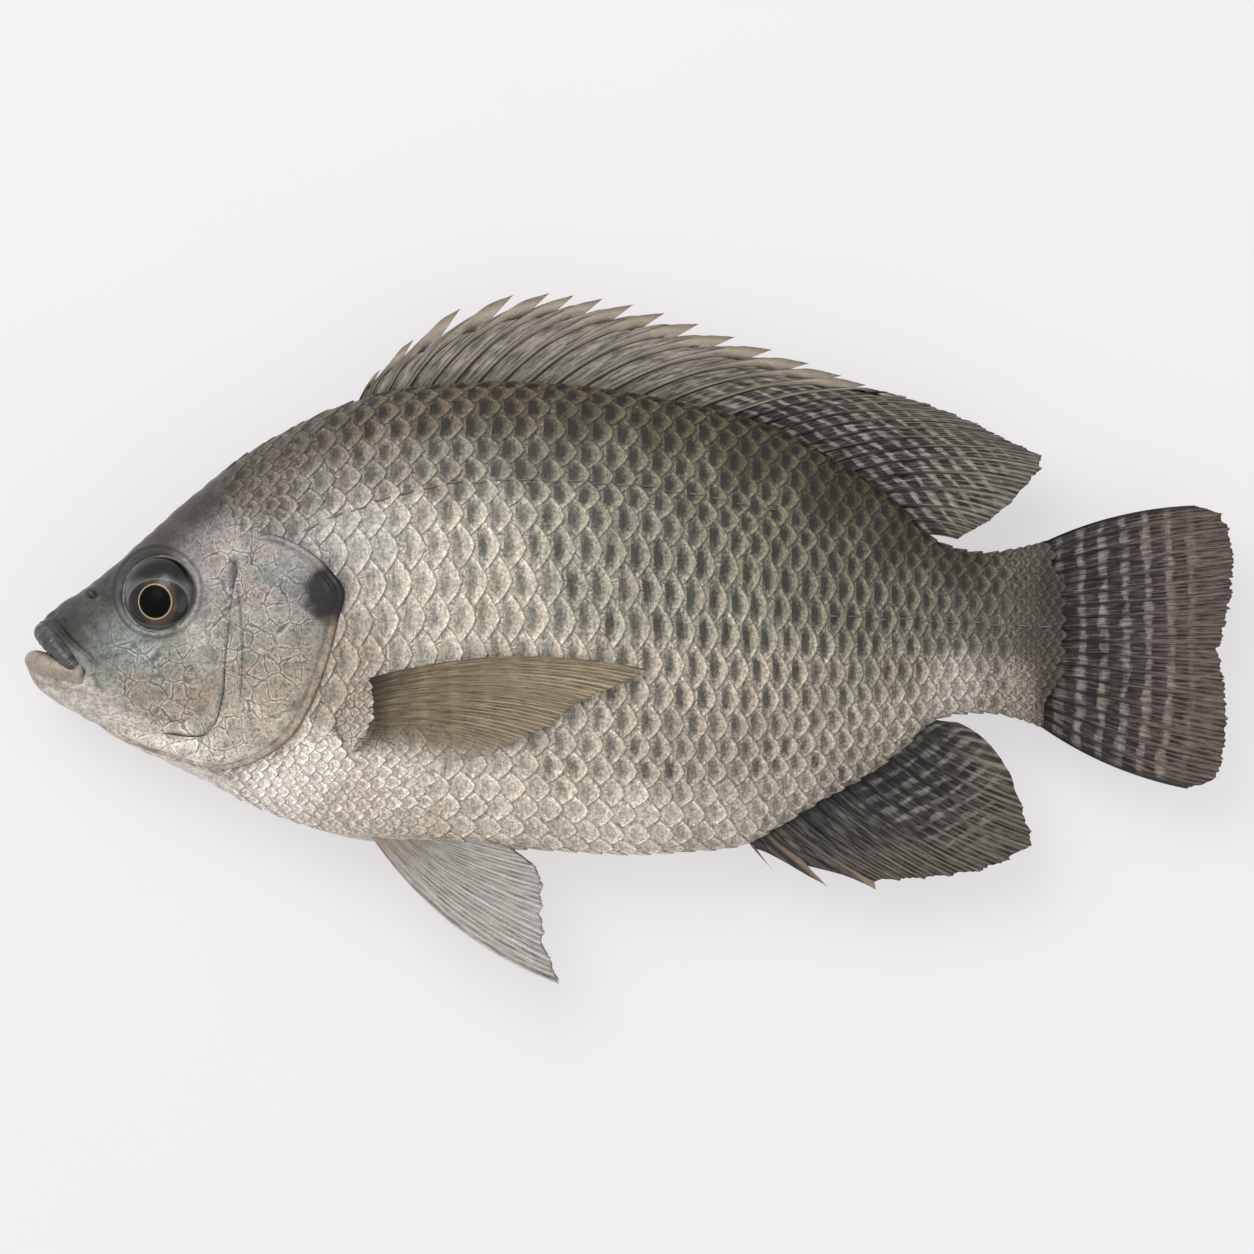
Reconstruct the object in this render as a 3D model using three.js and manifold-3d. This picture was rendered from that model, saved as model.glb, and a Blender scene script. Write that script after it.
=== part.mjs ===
// A whole tilapia, fresh and ungutted, lying on its right flank with its left side up.
// Millimetres, +Z up. X runs from the snout to the tail, Y from the belly to the back.
// The fish is drawn about its own middle plane and long axis, with the front of the lower jaw at X 0,
// and the group then sets it down: its origin is under the middle of the whole fish, on the surface.
//
// What it is made of: the body with its head, two gill covers, two eyes and seven fins.
// The skin joins them in life, so each is its own closed solid with a small seam to its neighbour.
import * as THREE from "three";
import { mergeVertices } from "three/addons/utils/BufferGeometryUtils.js";
import Module from "manifold-3d";

// ---- Driving dimensions ----
const BODY_LENGTH = 253; // front of the lower jaw to the root of the tail fin
const BODY_DEPTH = 117; // top of the back to the bottom of the belly
const BODY_WIDTH = 46.4; // across both flanks, where the fish is thickest
const PRESSED_FLAT = 0.8; // how far the flank that carries the weight is pressed flat

const EYE_DIAMETER = 17.8; // across the eyeball, along the head
const EYE_THICKNESS = 11; // through the eyeball, from cornea to back
const EYE_BULGE = 2.8; // how far the cornea stands out of the head

const COVER_THICKNESS = 1.6; // of the gill cover
const COVER_SLIT = 0.5; // round the edge of the gill cover
const COVERS_APART = 3; // at the throat, where the two gill covers come closest
const SEAM = 0.3; // between every two neighbours

const MOUTH_DEPTH = 12; // front of the jaw to the corner of the open mouth
const MOUTH_GAPE = 2.6; // between the lips in front

const DORSAL_RAY = 50; // longest ray of each fin
const ANAL_RAY = 44;
const TAIL_RAY = 48;
const PECTORAL_RAY = 69;
const PELVIC_RAY = 59;
const RAY_THICKNESS = 2.2; // a fin ray at its root
const TIP_THICKNESS = 0.8; // a fin ray at its tip
const WEB_THICKNESS = 0.7; // the skin between two rays
const PECTORAL_THICKNESS = 1.1; // the free pectoral fin
const PRESSED_THICKNESS = 0.8; // the pectoral fin that lies under the fish
const PRESSED_CLEARANCE = 0.05; // between that fin and the surface
const PELVIC_THICKNESS = 1.6;
const FIN_ROOT = 3; // how deep a fin is drawn into the body before the body cuts it

// ---- Shapes, as shares of the length and the depth ----
// Height of the back and of the belly over the long axis, from the jaw to the tail.
const BACK = [
  [0, -0.03],
  [0.008, 0.002],
  [0.016, 0.04],
  [0.032, 0.071],
  [0.063, 0.115],
  [0.095, 0.171],
  [0.13, 0.24],
  [0.17, 0.315],
  [0.213, 0.387],
  [0.257, 0.443],
  [0.3, 0.487],
  [0.36, 0.527],
  [0.42, 0.541],
  [0.474, 0.546],
  [0.534, 0.539],
  [0.6, 0.52],
  [0.672, 0.488],
  [0.735, 0.448],
  [0.79, 0.388],
  [0.838, 0.319],
  [0.87, 0.256],
  [0.897, 0.207],
  [0.945, 0.184],
  [1, 0.208],
];
const BELLY = [
  [0, -0.047],
  [0.008, -0.087],
  [0.02, -0.116],
  [0.04, -0.145],
  [0.08, -0.195],
  [0.126, -0.248],
  [0.174, -0.297],
  [0.221, -0.348],
  [0.269, -0.389],
  [0.316, -0.419],
  [0.375, -0.436],
  [0.495, -0.443],
  [0.593, -0.454],
  [0.652, -0.447],
  [0.705, -0.433],
  [0.743, -0.391],
  [0.783, -0.338],
  [0.826, -0.287],
  [0.862, -0.229],
  [0.893, -0.169],
  [0.94, -0.153],
  [0.972, -0.164],
  [1, -0.188],
];
// Half width, as a share of the half width of the whole.
const FLANK = [
  [0, 0.07],
  [0.008, 0.2],
  [0.02, 0.3],
  [0.047, 0.45],
  [0.095, 0.6],
  [0.142, 0.715],
  [0.198, 0.83],
  [0.257, 0.935],
  [0.316, 0.985],
  [0.375, 1],
  [0.474, 1],
  [0.593, 0.945],
  [0.692, 0.795],
  [0.79, 0.565],
  [0.87, 0.37],
  [0.941, 0.24],
  [1, 0.11],
];
// Level at which the fish is widest.
const WIDEST = [
  [0, -0.038],
  [0.04, -0.034],
  [0.095, -0.017],
  [0.2, 0.034],
  [0.316, 0.077],
  [0.435, 0.094],
  [0.593, 0.077],
  [0.75, 0.034],
  [0.87, 0.017],
  [1, 0.01],
];
const BACK_FULLNESS = 0.85; // below 1 the section bulges past an ellipse
const BELLY_FULLNESS = 1;

const BODY_RINGS = 38;
const RING_SIDES = 30;
const EYE_SIDES = 20;
const FIN_ROWS = 5;

// ---- Small tools ----
const wasm = await Module();
wasm.setup();

// A smooth curve through a table of [share, value], read at a share.
function follow(table, share) {
  const last = table.length - 1;
  const t = THREE.MathUtils.clamp(share, table[0][0], table[last][0]);
  let i = 0;
  while (i < last - 1 && t > table[i + 1][0]) i++;
  const slope = (k) => {
    const a = table[Math.max(k - 1, 0)];
    const b = table[Math.min(k + 1, last)];
    return (b[1] - a[1]) / (b[0] - a[0]);
  };
  const [x0, y0] = table[i];
  const [x1, y1] = table[i + 1];
  const w = x1 - x0;
  const s = (t - x0) / w;
  return (
    y0 * (1 + 2 * s) * (1 - s) ** 2 +
    slope(i) * w * s * (1 - s) ** 2 +
    y1 * s * s * (3 - 2 * s) +
    slope(i + 1) * w * s * s * (s - 1)
  );
}

// A closed geometry as a solid that can be cut.
function solid(geometry) {
  const bare = geometry.index ? geometry.toNonIndexed() : geometry.clone();
  bare.deleteAttribute("normal");
  bare.deleteAttribute("uv");
  const merged = mergeVertices(bare, 1e-4);
  return new wasm.Manifold(
    new wasm.Mesh({
      numProp: 3,
      vertProperties: merged.attributes.position.array,
      triVerts: new Uint32Array(merged.index.array),
    }),
  );
}

function geometryOf(made) {
  const { vertProperties, triVerts } = made.getMesh();
  const geometry = new THREE.BufferGeometry();
  geometry.setAttribute("position", new THREE.BufferAttribute(vertProperties, 3));
  geometry.setIndex(new THREE.BufferAttribute(triVerts, 1));
  geometry.computeVertexNormals();
  return geometry;
}

// A closed geometry from rings of points that share their number of points.
function loft(rings) {
  const sides = rings[0].length;
  const middle = (ring) =>
    ring
      .reduce((sum, p) => sum.add(p), new THREE.Vector3())
      .divideScalar(ring.length);
  const points = [...rings.flat(), middle(rings[0]), middle(rings.at(-1))];
  const first = rings.length * sides;
  const faces = [];
  for (let s = 0; s < sides; s++) {
    const n = (s + 1) % sides;
    for (let r = 0; r < rings.length - 1; r++) {
      const a = r * sides;
      const b = a + sides;
      faces.push(a + s, a + n, b + s, a + n, b + n, b + s);
    }
    const end = first - sides;
    faces.push(first, n, s, first + 1, end + s, end + n);
  }
  const geometry = new THREE.BufferGeometry().setFromPoints(points);
  geometry.setIndex(faces);
  return geometry;
}

function box(low, high) {
  const size = new THREE.Vector3().subVectors(high, low);
  const middle = new THREE.Vector3().addVectors(low, high).divideScalar(2);
  const geometry = new THREE.BoxGeometry(size.x, size.y, size.z);
  return geometry.translate(middle.x, middle.y, middle.z);
}

// ---- The form of the body, which everything else is fitted to ----
const HALF_WIDTH = BODY_WIDTH / 2;
const FLOOR = PRESSED_FLAT - HALF_WIDTH; // level of the surface that the fish lies on

const backAt = (x) => follow(BACK, x / BODY_LENGTH) * BODY_DEPTH;
const bellyAt = (x) => follow(BELLY, x / BODY_LENGTH) * BODY_DEPTH;
const flankAt = (x) => follow(FLANK, x / BODY_LENGTH) * HALF_WIDTH;
const widestAt = (x) => follow(WIDEST, x / BODY_LENGTH) * BODY_DEPTH;

// A cross-section of the body, `grow` larger all round than the skin.
function section(x, grow) {
  const least = 0.2;
  const level = widestAt(x);
  return {
    level,
    up: Math.max(backAt(x) - level + grow, least),
    down: Math.max(level - bellyAt(x) + grow, least),
    out: Math.max(flankAt(x) + grow, least),
  };
}

// How far the skin stands out from the middle plane at a point of the side view.
function skinAt(x, y) {
  const { level, up, down, out } = section(x, 0);
  const high = (y - level) / (y > level ? up : down);
  const full = y > level ? BACK_FULLNESS : BELLY_FULLNESS;
  return out * Math.max(1 - high * high, 0) ** (full / 2);
}

function form(grow) {
  const rings = [];
  for (let r = 0; r < BODY_RINGS; r++) {
    const share = (r / (BODY_RINGS - 1)) ** 1.25; // closer together on the head
    const x = share * BODY_LENGTH;
    const { level, up, down, out } = section(x, grow);
    const ring = [];
    for (let s = 0; s < RING_SIDES; s++) {
      const turn = (2 * Math.PI * s) / RING_SIDES;
      const c = Math.cos(turn);
      const full = c > 0 ? BACK_FULLNESS : BELLY_FULLNESS;
      const z = out * Math.sign(Math.sin(turn)) * Math.abs(Math.sin(turn)) ** full;
      ring.push(
        new THREE.Vector3(x + grow * (2 * share - 1), level + c * (c > 0 ? up : down), z),
      );
    }
    rings.push(ring);
  }
  return loft(rings);
}

const skinForm = solid(form(0));
const seamForm = solid(form(SEAM));

// ---- Eyes ----
// Middle of the eye in the side view, as shares of the length and the depth.
const EYE_X = 0.1335 * BODY_LENGTH;
const EYE_Y = 0.101 * BODY_DEPTH;
const EYE_Z = skinAt(EYE_X, EYE_Y) + EYE_BULGE - EYE_THICKNESS / 2;

function eyeball(grow) {
  const radius = EYE_DIAMETER / 2 + grow;
  const geometry = new THREE.SphereGeometry(radius, EYE_SIDES, EYE_SIDES / 2);
  geometry.rotateX(Math.PI / 2);
  return geometry.scale(1, 1, (EYE_THICKNESS / 2 + grow) / radius);
}

// ---- Gill covers ----
// Edge of the gill cover in the side view, as shares of the length and the depth.
const COVER_EDGE = [
  [0.212, 0.205],
  [0.258, 0.222],
  [0.298, 0.182],
  [0.318, 0.118],
  [0.317, 0.06],
  [0.302, -0.035],
  [0.28, -0.145],
  [0.243, -0.237],
  [0.19, -0.287],
  [0.153, -0.277],
  [0.186, -0.235],
  [0.207, -0.13],
  [0.208, 0.04],
];

// The cover's outline as a block through one side of the fish, `grow` larger all round.
function coverBlock(side, grow) {
  const edge = new THREE.CatmullRomCurve3(
    COVER_EDGE.map(([x, y]) => new THREE.Vector3(x * BODY_LENGTH, y * BODY_DEPTH)),
    true,
    "centripetal",
  );
  const steps = 48; // along the edge
  const outline = [];
  for (let i = 0; i < steps; i++) {
    const p = edge.getPoint(i / steps);
    const along = edge.getTangent(i / steps);
    outline.push(new THREE.Vector2(p.x - along.y * grow, p.y + along.x * grow));
  }
  const inner = COVERS_APART / 2 - grow;
  const block = new THREE.ExtrudeGeometry(new THREE.Shape(outline), {
    depth: BODY_WIDTH,
    bevelEnabled: false,
  });
  return solid(block.translate(0, 0, side > 0 ? inner : -inner - BODY_WIDTH));
}

const coverBed = solid(form(-COVER_THICKNESS));
const recessBed = solid(form(-COVER_THICKNESS - SEAM));

const gillCover = (side) =>
  coverBlock(side, 0).intersect(skinForm.subtract(coverBed));

const gillRecess = (side) => coverBlock(side, COVER_SLIT).subtract(recessBed);

// ---- The open mouth ----
function mouth() {
  const level = -0.008 * BODY_DEPTH; // of the cleft between the lips
  const drop = 0.03 * BODY_DEPTH; // from the front of the cleft to its corner
  const cleft = new THREE.Shape([
    new THREE.Vector2(-1, level - MOUTH_GAPE / 2),
    new THREE.Vector2(MOUTH_DEPTH, level - drop),
    new THREE.Vector2(-1, level + MOUTH_GAPE / 2),
  ]);
  const geometry = new THREE.ExtrudeGeometry(cleft, {
    depth: BODY_WIDTH,
    bevelEnabled: false,
  });
  return solid(geometry.translate(0, 0, -HALF_WIDTH));
}

// ---- Body ----
const under = solid(
  box(
    new THREE.Vector3(-BODY_LENGTH, -BODY_DEPTH, -BODY_WIDTH),
    new THREE.Vector3(2 * BODY_LENGTH, BODY_DEPTH, FLOOR),
  ),
);

function body() {
  let made = skinForm.subtract(mouth()).subtract(under);
  for (const side of [1, -1]) {
    const socket = eyeball(SEAM).translate(EYE_X, EYE_Y, side * EYE_Z);
    made = made.subtract(solid(socket)).subtract(gillRecess(side));
  }
  return geometryOf(made);
}

// ---- Fins ----
// Every fin is a fan of rays with skin between them. A ray is a gently bowed line in the side view.
// `roots` gives a ray's root at a share of the fin's base, and `fan` holds
// [share of the base, ray length as a share of the longest, lean over the long axis in degrees].
function rayLine(roots, fan, longest, share, bow) {
  const lengths = fan.map(([u, length]) => [u, length]);
  const leans = fan.map(([u, , lean]) => [u, lean]);
  const length = follow(lengths, share) * longest;
  const lean = THREE.MathUtils.degToRad(follow(leans, share));
  const root = roots(share);
  const along = new THREE.Vector2(Math.cos(lean), Math.sin(lean));
  const across = new THREE.Vector2(-along.y, along.x);
  return (k) =>
    root
      .clone()
      .addScaledVector(along, k * length - FIN_ROOT * (1 - k))
      .addScaledVector(across, bow * length * 4 * k * (1 - k));
}

// A closed slab from columns of { x, y, z, half }, `half` being half its thickness.
function slab(columns) {
  const rows = columns[0].length;
  const ring = columns.map((column) => [
    ...column.map((p) => new THREE.Vector3(p.x, p.y, p.z + p.half)),
    ...column.map((p) => new THREE.Vector3(p.x, p.y, p.z - p.half)).reverse(),
  ]);
  const points = ring.flat();
  const sides = 2 * rows;
  const faces = [];
  for (let c = 0; c < columns.length - 1; c++)
    for (let s = 0; s < sides; s++) {
      const n = (s + 1) % sides;
      const a = c * sides;
      const b = a + sides;
      faces.push(a + s, a + n, b + s, a + n, b + n, b + s);
    }
  const last = (columns.length - 1) * sides;
  for (let r = 0; r < rows - 1; r++) {
    const mirror = sides - 1 - r;
    faces.push(r, mirror, r + 1, mirror, mirror - 1, r + 1);
    faces.push(last + r, last + r + 1, last + mirror);
    faces.push(last + mirror, last + r + 1, last + mirror - 1);
  }
  const geometry = new THREE.BufferGeometry().setFromPoints(points);
  geometry.setIndex(faces);
  return geometry;
}

// The fin as a slab: `shares` places the rays on the base, `notch` says how far the skin between
// two rays stays short of their tips, and `middle` gives the fin's level at a point.
function fin({ roots, fan, longest, shares, bow, notch, middle, ray, web }) {
  const rays = shares.map((share) => rayLine(roots, fan, longest, share, bow));
  const columns = [];
  rays.forEach((line, i) => {
    columns.push(
      Array.from({ length: FIN_ROWS }, (_, r) => {
        const k = r / (FIN_ROWS - 1);
        const { x, y } = line(k);
        const half = THREE.MathUtils.lerp(ray, Math.min(ray, TIP_THICKNESS), k) / 2;
        return { x, y, z: middle(x, y, k), half };
      }),
    );
    if (i === rays.length - 1) return;
    const short = 1 - notch(shares[i]);
    columns.push(
      Array.from({ length: FIN_ROWS }, (_, r) => {
        const k = (r / (FIN_ROWS - 1)) * short;
        const { x, y } = line(k).lerp(rays[i + 1](k), 0.5);
        return { x, y, z: middle(x, y, k), half: web / 2 };
      }),
    );
  });
  const made = solid(slab(columns));
  const upright = made.volume() < 0 ? solid(slab(columns.reverse())) : made;
  return geometryOf(largest(upright.subtract(seamForm).subtract(under)));
}

// Cutting a fin free of the body can leave a crumb, which goes.
function largest(made) {
  return made.decompose().reduce((a, b) => (a.volume() > b.volume() ? a : b));
}

const spread = (count, from, to, power = 1) =>
  Array.from({ length: count }, (_, i) => from + (to - from) * (i / (count - 1)) ** power);

// The fins of the middle plane stand on the back or the belly line.
const onLine = (line, from, to) => (share) => {
  const x = THREE.MathUtils.lerp(from, to, share) * BODY_LENGTH;
  return new THREE.Vector2(x, line(x));
};
const flat = () => 0;

const SPINES_END = 0.657; // where the spiny part of the dorsal fin gives way to the soft part
const dorsalFin = () =>
  fin({
    roots: onLine(backAt, 0.33, 0.888),
    fan: [
      [0, 0.17, 60],
      [0.046, 0.48, 54],
      [0.1, 0.69, 43],
      [0.16, 0.705, 40],
      [0.21, 0.71, 37],
      [0.315, 0.72, 29],
      [0.4, 0.75, 21],
      [0.53, 0.81, 12],
      [0.657, 0.77, 10],
      [0.745, 0.88, 6],
      [0.8, 0.97, 3],
      [0.852, 1, 2],
      [0.91, 0.72, -1],
      [0.955, 0.41, -8],
      [1, 0.14, -6],
    ],
    longest: DORSAL_RAY,
    shares: [...spread(16, 0, SPINES_END, 1.25), ...spread(13, SPINES_END + 0.03, 1)],
    bow: 0.07,
    notch: (share) => (share < SPINES_END ? 0.1 : 0.02),
    middle: flat,
    ray: RAY_THICKNESS,
    web: WEB_THICKNESS,
  });

const ANAL_SPINES_END = 0.2;
const analFin = () =>
  fin({
    roots: onLine(bellyAt, 0.711, 0.894),
    fan: [
      [0, 0.225, -49],
      [0.1, 0.44, -40],
      [0.2, 0.607, -35],
      [0.35, 0.743, -35.5],
      [0.5, 0.895, -33],
      [0.62, 0.98, -29],
      [0.7, 0.99, -27],
      [0.8, 0.836, -28],
      [0.9, 0.618, -26],
      [0.96, 0.375, -18],
      [1, 0.12, -8],
    ],
    longest: ANAL_RAY,
    shares: [...spread(3, 0, ANAL_SPINES_END), ...spread(10, ANAL_SPINES_END + 0.08, 1)],
    bow: -0.04,
    notch: (share) => (share < ANAL_SPINES_END ? 0.16 : 0.03),
    middle: flat,
    ray: RAY_THICKNESS,
    web: WEB_THICKNESS,
  });

const tailFin = () =>
  fin({
    roots: (share) => {
      const y = THREE.MathUtils.lerp(backAt(BODY_LENGTH), bellyAt(BODY_LENGTH), share);
      return new THREE.Vector2(BODY_LENGTH, y * 0.97);
    },
    fan: [
      [0, 0.82, 14.6],
      [0.06, 0.952, 13.3],
      [0.15, 1, 10.3],
      [0.3, 1, 6.1],
      [0.5, 0.948, 0.9],
      [0.56, 0.92, -2],
      [0.7, 0.967, -7.6],
      [0.85, 0.985, -15.7],
      [0.95, 0.948, -20.9],
      [1, 0.815, -23.8],
    ],
    longest: TAIL_RAY,
    shares: spread(18, 0, 1),
    bow: 0,
    notch: () => 0.015,
    middle: flat,
    ray: RAY_THICKNESS,
    web: WEB_THICKNESS,
  });

// ---- Paired fins ----
const PECTORAL_FAN = [
  [0, 1, 2.4],
  [0.1, 0.957, 2.2],
  [0.24, 0.8, 0.3],
  [0.36, 0.733, 0.2],
  [0.5, 0.655, -2.9],
  [0.6, 0.55, -5.6],
  [0.75, 0.446, -9.3],
  [0.88, 0.33, -10],
  [1, 0.2, -6],
];
const PECTORAL_ROOT_TOP = new THREE.Vector2(0.343 * BODY_LENGTH, -0.085 * BODY_DEPTH);
const PECTORAL_ROOT_BOTTOM = new THREE.Vector2(0.337 * BODY_LENGTH, -0.238 * BODY_DEPTH);
const PECTORAL_LIFT = 3; // how far the tip stands off the flank
const PRESSED_SWING = -21; // degrees that the fin under the fish is turned towards the belly

// The free fin stands off the flank. The other lies pressed between the flank and the surface.
function pectoralFin(side) {
  const pressed = side < 0;
  const swing = pressed ? PRESSED_SWING : 0;
  const thick = pressed ? PRESSED_THICKNESS : PECTORAL_THICKNESS;
  const low = FLOOR + thick / 2 + PRESSED_CLEARANCE;
  return fin({
    roots: (share) => PECTORAL_ROOT_TOP.clone().lerp(PECTORAL_ROOT_BOTTOM, share),
    fan: PECTORAL_FAN.map(([u, length, lean]) => [u, length, lean + swing]),
    longest: PECTORAL_RAY,
    shares: spread(13, 0, 1),
    bow: pressed ? 0.02 : 0.066,
    notch: () => 0.015,
    middle: (x, y, k) => {
      const lift = THREE.MathUtils.lerp(0, PECTORAL_LIFT, Math.sqrt(k));
      const off = skinAt(x, y) + lift;
      return pressed ? low : off;
    },
    ray: thick,
    web: Math.min(thick, WEB_THICKNESS),
  });
}

const PELVIC_ROOT_FRONT = new THREE.Vector2(0.346 * BODY_LENGTH, -0.419 * BODY_DEPTH);
const PELVIC_ROOT_REAR = new THREE.Vector2(0.394 * BODY_LENGTH, -0.397 * BODY_DEPTH);
const PELVIC_APART = 9; // between the roots of the two pelvic fins
const PELVIC_SPLAY = 2; // how much further each tip stands from the middle plane

const pelvicFin = (side) =>
  fin({
    roots: (share) => PELVIC_ROOT_FRONT.clone().lerp(PELVIC_ROOT_REAR, share),
    fan: [
      [0, 1, -38.6],
      [0.25, 0.82, -35.5],
      [0.5, 0.68, -28],
      [0.78, 0.56, -19.5],
      [1, 0.37, -13.8],
    ],
    longest: PELVIC_RAY,
    shares: spread(7, 0, 1),
    bow: -0.04,
    notch: () => 0.02,
    middle: (x, y, k) => side * (PELVIC_APART / 2 + PELVIC_SPLAY * k),
    ray: PELVIC_THICKNESS,
    web: WEB_THICKNESS,
  });

// ---- Materials ----
const matt = (color, roughness) =>
  new THREE.MeshStandardMaterial({ color, roughness, metalness: 0 });
const SKIN = matt(0x8d8a80, 0.45);
const COVER = matt(0xa09c92, 0.4);
const CORNEA = matt(0x2b2724, 0.1);
const DARK_FIN = matt(0x6d675f, 0.5);
const PALE_FIN = matt(0xb0aa9d, 0.5);
const BROWN_FIN = matt(0x8c8069, 0.5);

// ---- Assembly ----
const fish = new THREE.Group();
function add(name, geometry, material) {
  const mesh = new THREE.Mesh(geometry, material);
  mesh.name = name;
  fish.add(mesh);
  return mesh;
}

add("body", body(), SKIN);
for (const [side, hand] of [
  [1, "left"],
  [-1, "right"],
]) {
  add(`gill_cover_${hand}`, geometryOf(largest(gillCover(side).subtract(under))), COVER);
  add(`eye_${hand}`, eyeball(0), CORNEA).position.set(EYE_X, EYE_Y, side * EYE_Z);
  add(`pectoral_fin_${hand}`, pectoralFin(side), BROWN_FIN);
  add(`pelvic_fin_${hand}`, pelvicFin(side), PALE_FIN);
}
add("dorsal_fin", dorsalFin(), DARK_FIN);
add("anal_fin", analFin(), DARK_FIN);
add("tail_fin", tailFin(), DARK_FIN);

// Set the fish down: the origin is on the surface, under the middle of its bounding box.
const bounds = new THREE.Box3().setFromObject(fish, true);
const middle = bounds.getCenter(new THREE.Vector3());
fish.position.set(-middle.x, -middle.y, -FLOOR);

const root = new THREE.Group();
root.add(fish);
export default root;
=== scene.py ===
"""A whole raw tilapia lying on its right side: its skin, scales, head, eyes and fins.

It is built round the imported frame. Sizes inside the classes are in millimetres in the fish's own frame:
x from the front of the jaw to the tail, y over the long axis, towards the back, and z out of the middle
plane, towards the left flank. Form.place() turns them into metres in the shared frame.
"""

import logging
import math
from dataclasses import dataclass
from enum import Enum
from typing import Any, Callable, Sequence

import bpy
import numpy as np
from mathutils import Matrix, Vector


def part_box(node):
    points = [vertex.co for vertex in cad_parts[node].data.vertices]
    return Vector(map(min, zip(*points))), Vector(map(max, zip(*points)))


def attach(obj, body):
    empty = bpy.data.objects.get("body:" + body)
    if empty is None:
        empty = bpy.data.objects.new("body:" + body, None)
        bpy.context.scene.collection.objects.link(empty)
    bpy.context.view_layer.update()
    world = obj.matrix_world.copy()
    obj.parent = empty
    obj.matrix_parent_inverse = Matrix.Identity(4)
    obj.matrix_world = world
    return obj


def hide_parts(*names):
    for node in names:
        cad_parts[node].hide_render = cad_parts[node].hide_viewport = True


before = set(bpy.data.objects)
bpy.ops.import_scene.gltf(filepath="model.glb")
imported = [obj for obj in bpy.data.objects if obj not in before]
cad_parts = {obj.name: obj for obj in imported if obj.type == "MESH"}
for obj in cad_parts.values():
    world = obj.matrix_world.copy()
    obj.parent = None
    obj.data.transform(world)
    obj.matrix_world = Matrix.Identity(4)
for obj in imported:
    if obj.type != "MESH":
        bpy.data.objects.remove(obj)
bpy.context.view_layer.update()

log = logging.getLogger("tilapia")
Array = np.ndarray
MM = 0.001


# ---------------------------------------------------------------- shape of the fish


def follow(table: Sequence[tuple[float, float]], share: Array) -> Array:
    """Read a smooth curve through a table of (share, value).

    Args:
        table: the curve's points, in order of their share.
        share: where the curve is read.

    Returns:
        The curve's value at each share.
    """
    xs, ys = np.array(table, float).T
    t = np.clip(np.asarray(share, float), xs[0], xs[-1])
    i = np.clip(np.searchsorted(xs, t, side="left") - 1, 0, len(xs) - 2)
    low, high = np.maximum(np.arange(len(xs)) - 1, 0), np.minimum(np.arange(len(xs)) + 1, len(xs) - 1)
    slope = (ys[high] - ys[low]) / (xs[high] - xs[low])
    w = xs[i + 1] - xs[i]
    s = (t - xs[i]) / w
    return (
        ys[i] * (1 + 2 * s) * (1 - s) ** 2
        + slope[i] * w * s * (1 - s) ** 2
        + ys[i + 1] * s * s * (3 - 2 * s)
        + slope[i + 1] * w * s * s * (s - 1)
    )


def ease(low: float, high: float, value: Array) -> Array:
    """Go smoothly from 0 at low to 1 at high."""
    t = np.clip((np.asarray(value, float) - low) / (high - low), 0, 1)
    return t * t * (3 - 2 * t)


class Side(Enum):
    """The two sides of the fish, as the sign of z."""

    LEFT = 1
    RIGHT = -1

    @property
    def word(self) -> str:
        """The side's name, as the nodes use it."""
        return self.name.lower()


# Outline of the back and the belly, as shares of the body's length and depth.
BACK = [
    (0, -0.03), (0.008, 0.002), (0.016, 0.04), (0.032, 0.071), (0.063, 0.115), (0.095, 0.171), (0.13, 0.24),
    (0.17, 0.315), (0.213, 0.387), (0.257, 0.443), (0.3, 0.487), (0.36, 0.527), (0.42, 0.541), (0.474, 0.546),
    (0.534, 0.539), (0.6, 0.52), (0.672, 0.488), (0.735, 0.448), (0.79, 0.388), (0.838, 0.319), (0.87, 0.256),
    (0.897, 0.207), (0.945, 0.184), (1, 0.208),
]  # fmt: skip
BELLY = [
    (0, -0.047), (0.008, -0.087), (0.02, -0.116), (0.04, -0.145), (0.08, -0.195), (0.126, -0.248),
    (0.174, -0.297), (0.221, -0.348), (0.269, -0.389), (0.316, -0.419), (0.375, -0.436), (0.495, -0.443),
    (0.593, -0.454), (0.652, -0.447), (0.705, -0.433), (0.743, -0.391), (0.783, -0.338), (0.826, -0.287),
    (0.862, -0.229), (0.893, -0.169), (0.94, -0.153), (0.972, -0.164), (1, -0.188),
]  # fmt: skip
# Half width, as a share of the half width of the whole, and the level of the widest line.
FLANK = [
    (0, 0.07), (0.008, 0.2), (0.02, 0.3), (0.047, 0.45), (0.095, 0.6), (0.142, 0.715), (0.198, 0.83),
    (0.257, 0.935), (0.316, 0.985), (0.375, 1), (0.474, 1), (0.593, 0.945), (0.692, 0.795), (0.79, 0.565),
    (0.87, 0.37), (0.941, 0.24), (1, 0.11),
]  # fmt: skip
WIDEST = [
    (0, -0.038), (0.04, -0.034), (0.095, -0.017), (0.2, 0.034), (0.316, 0.077), (0.435, 0.094),
    (0.593, 0.077), (0.75, 0.034), (0.87, 0.017), (1, 0.01),
]  # fmt: skip


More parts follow.
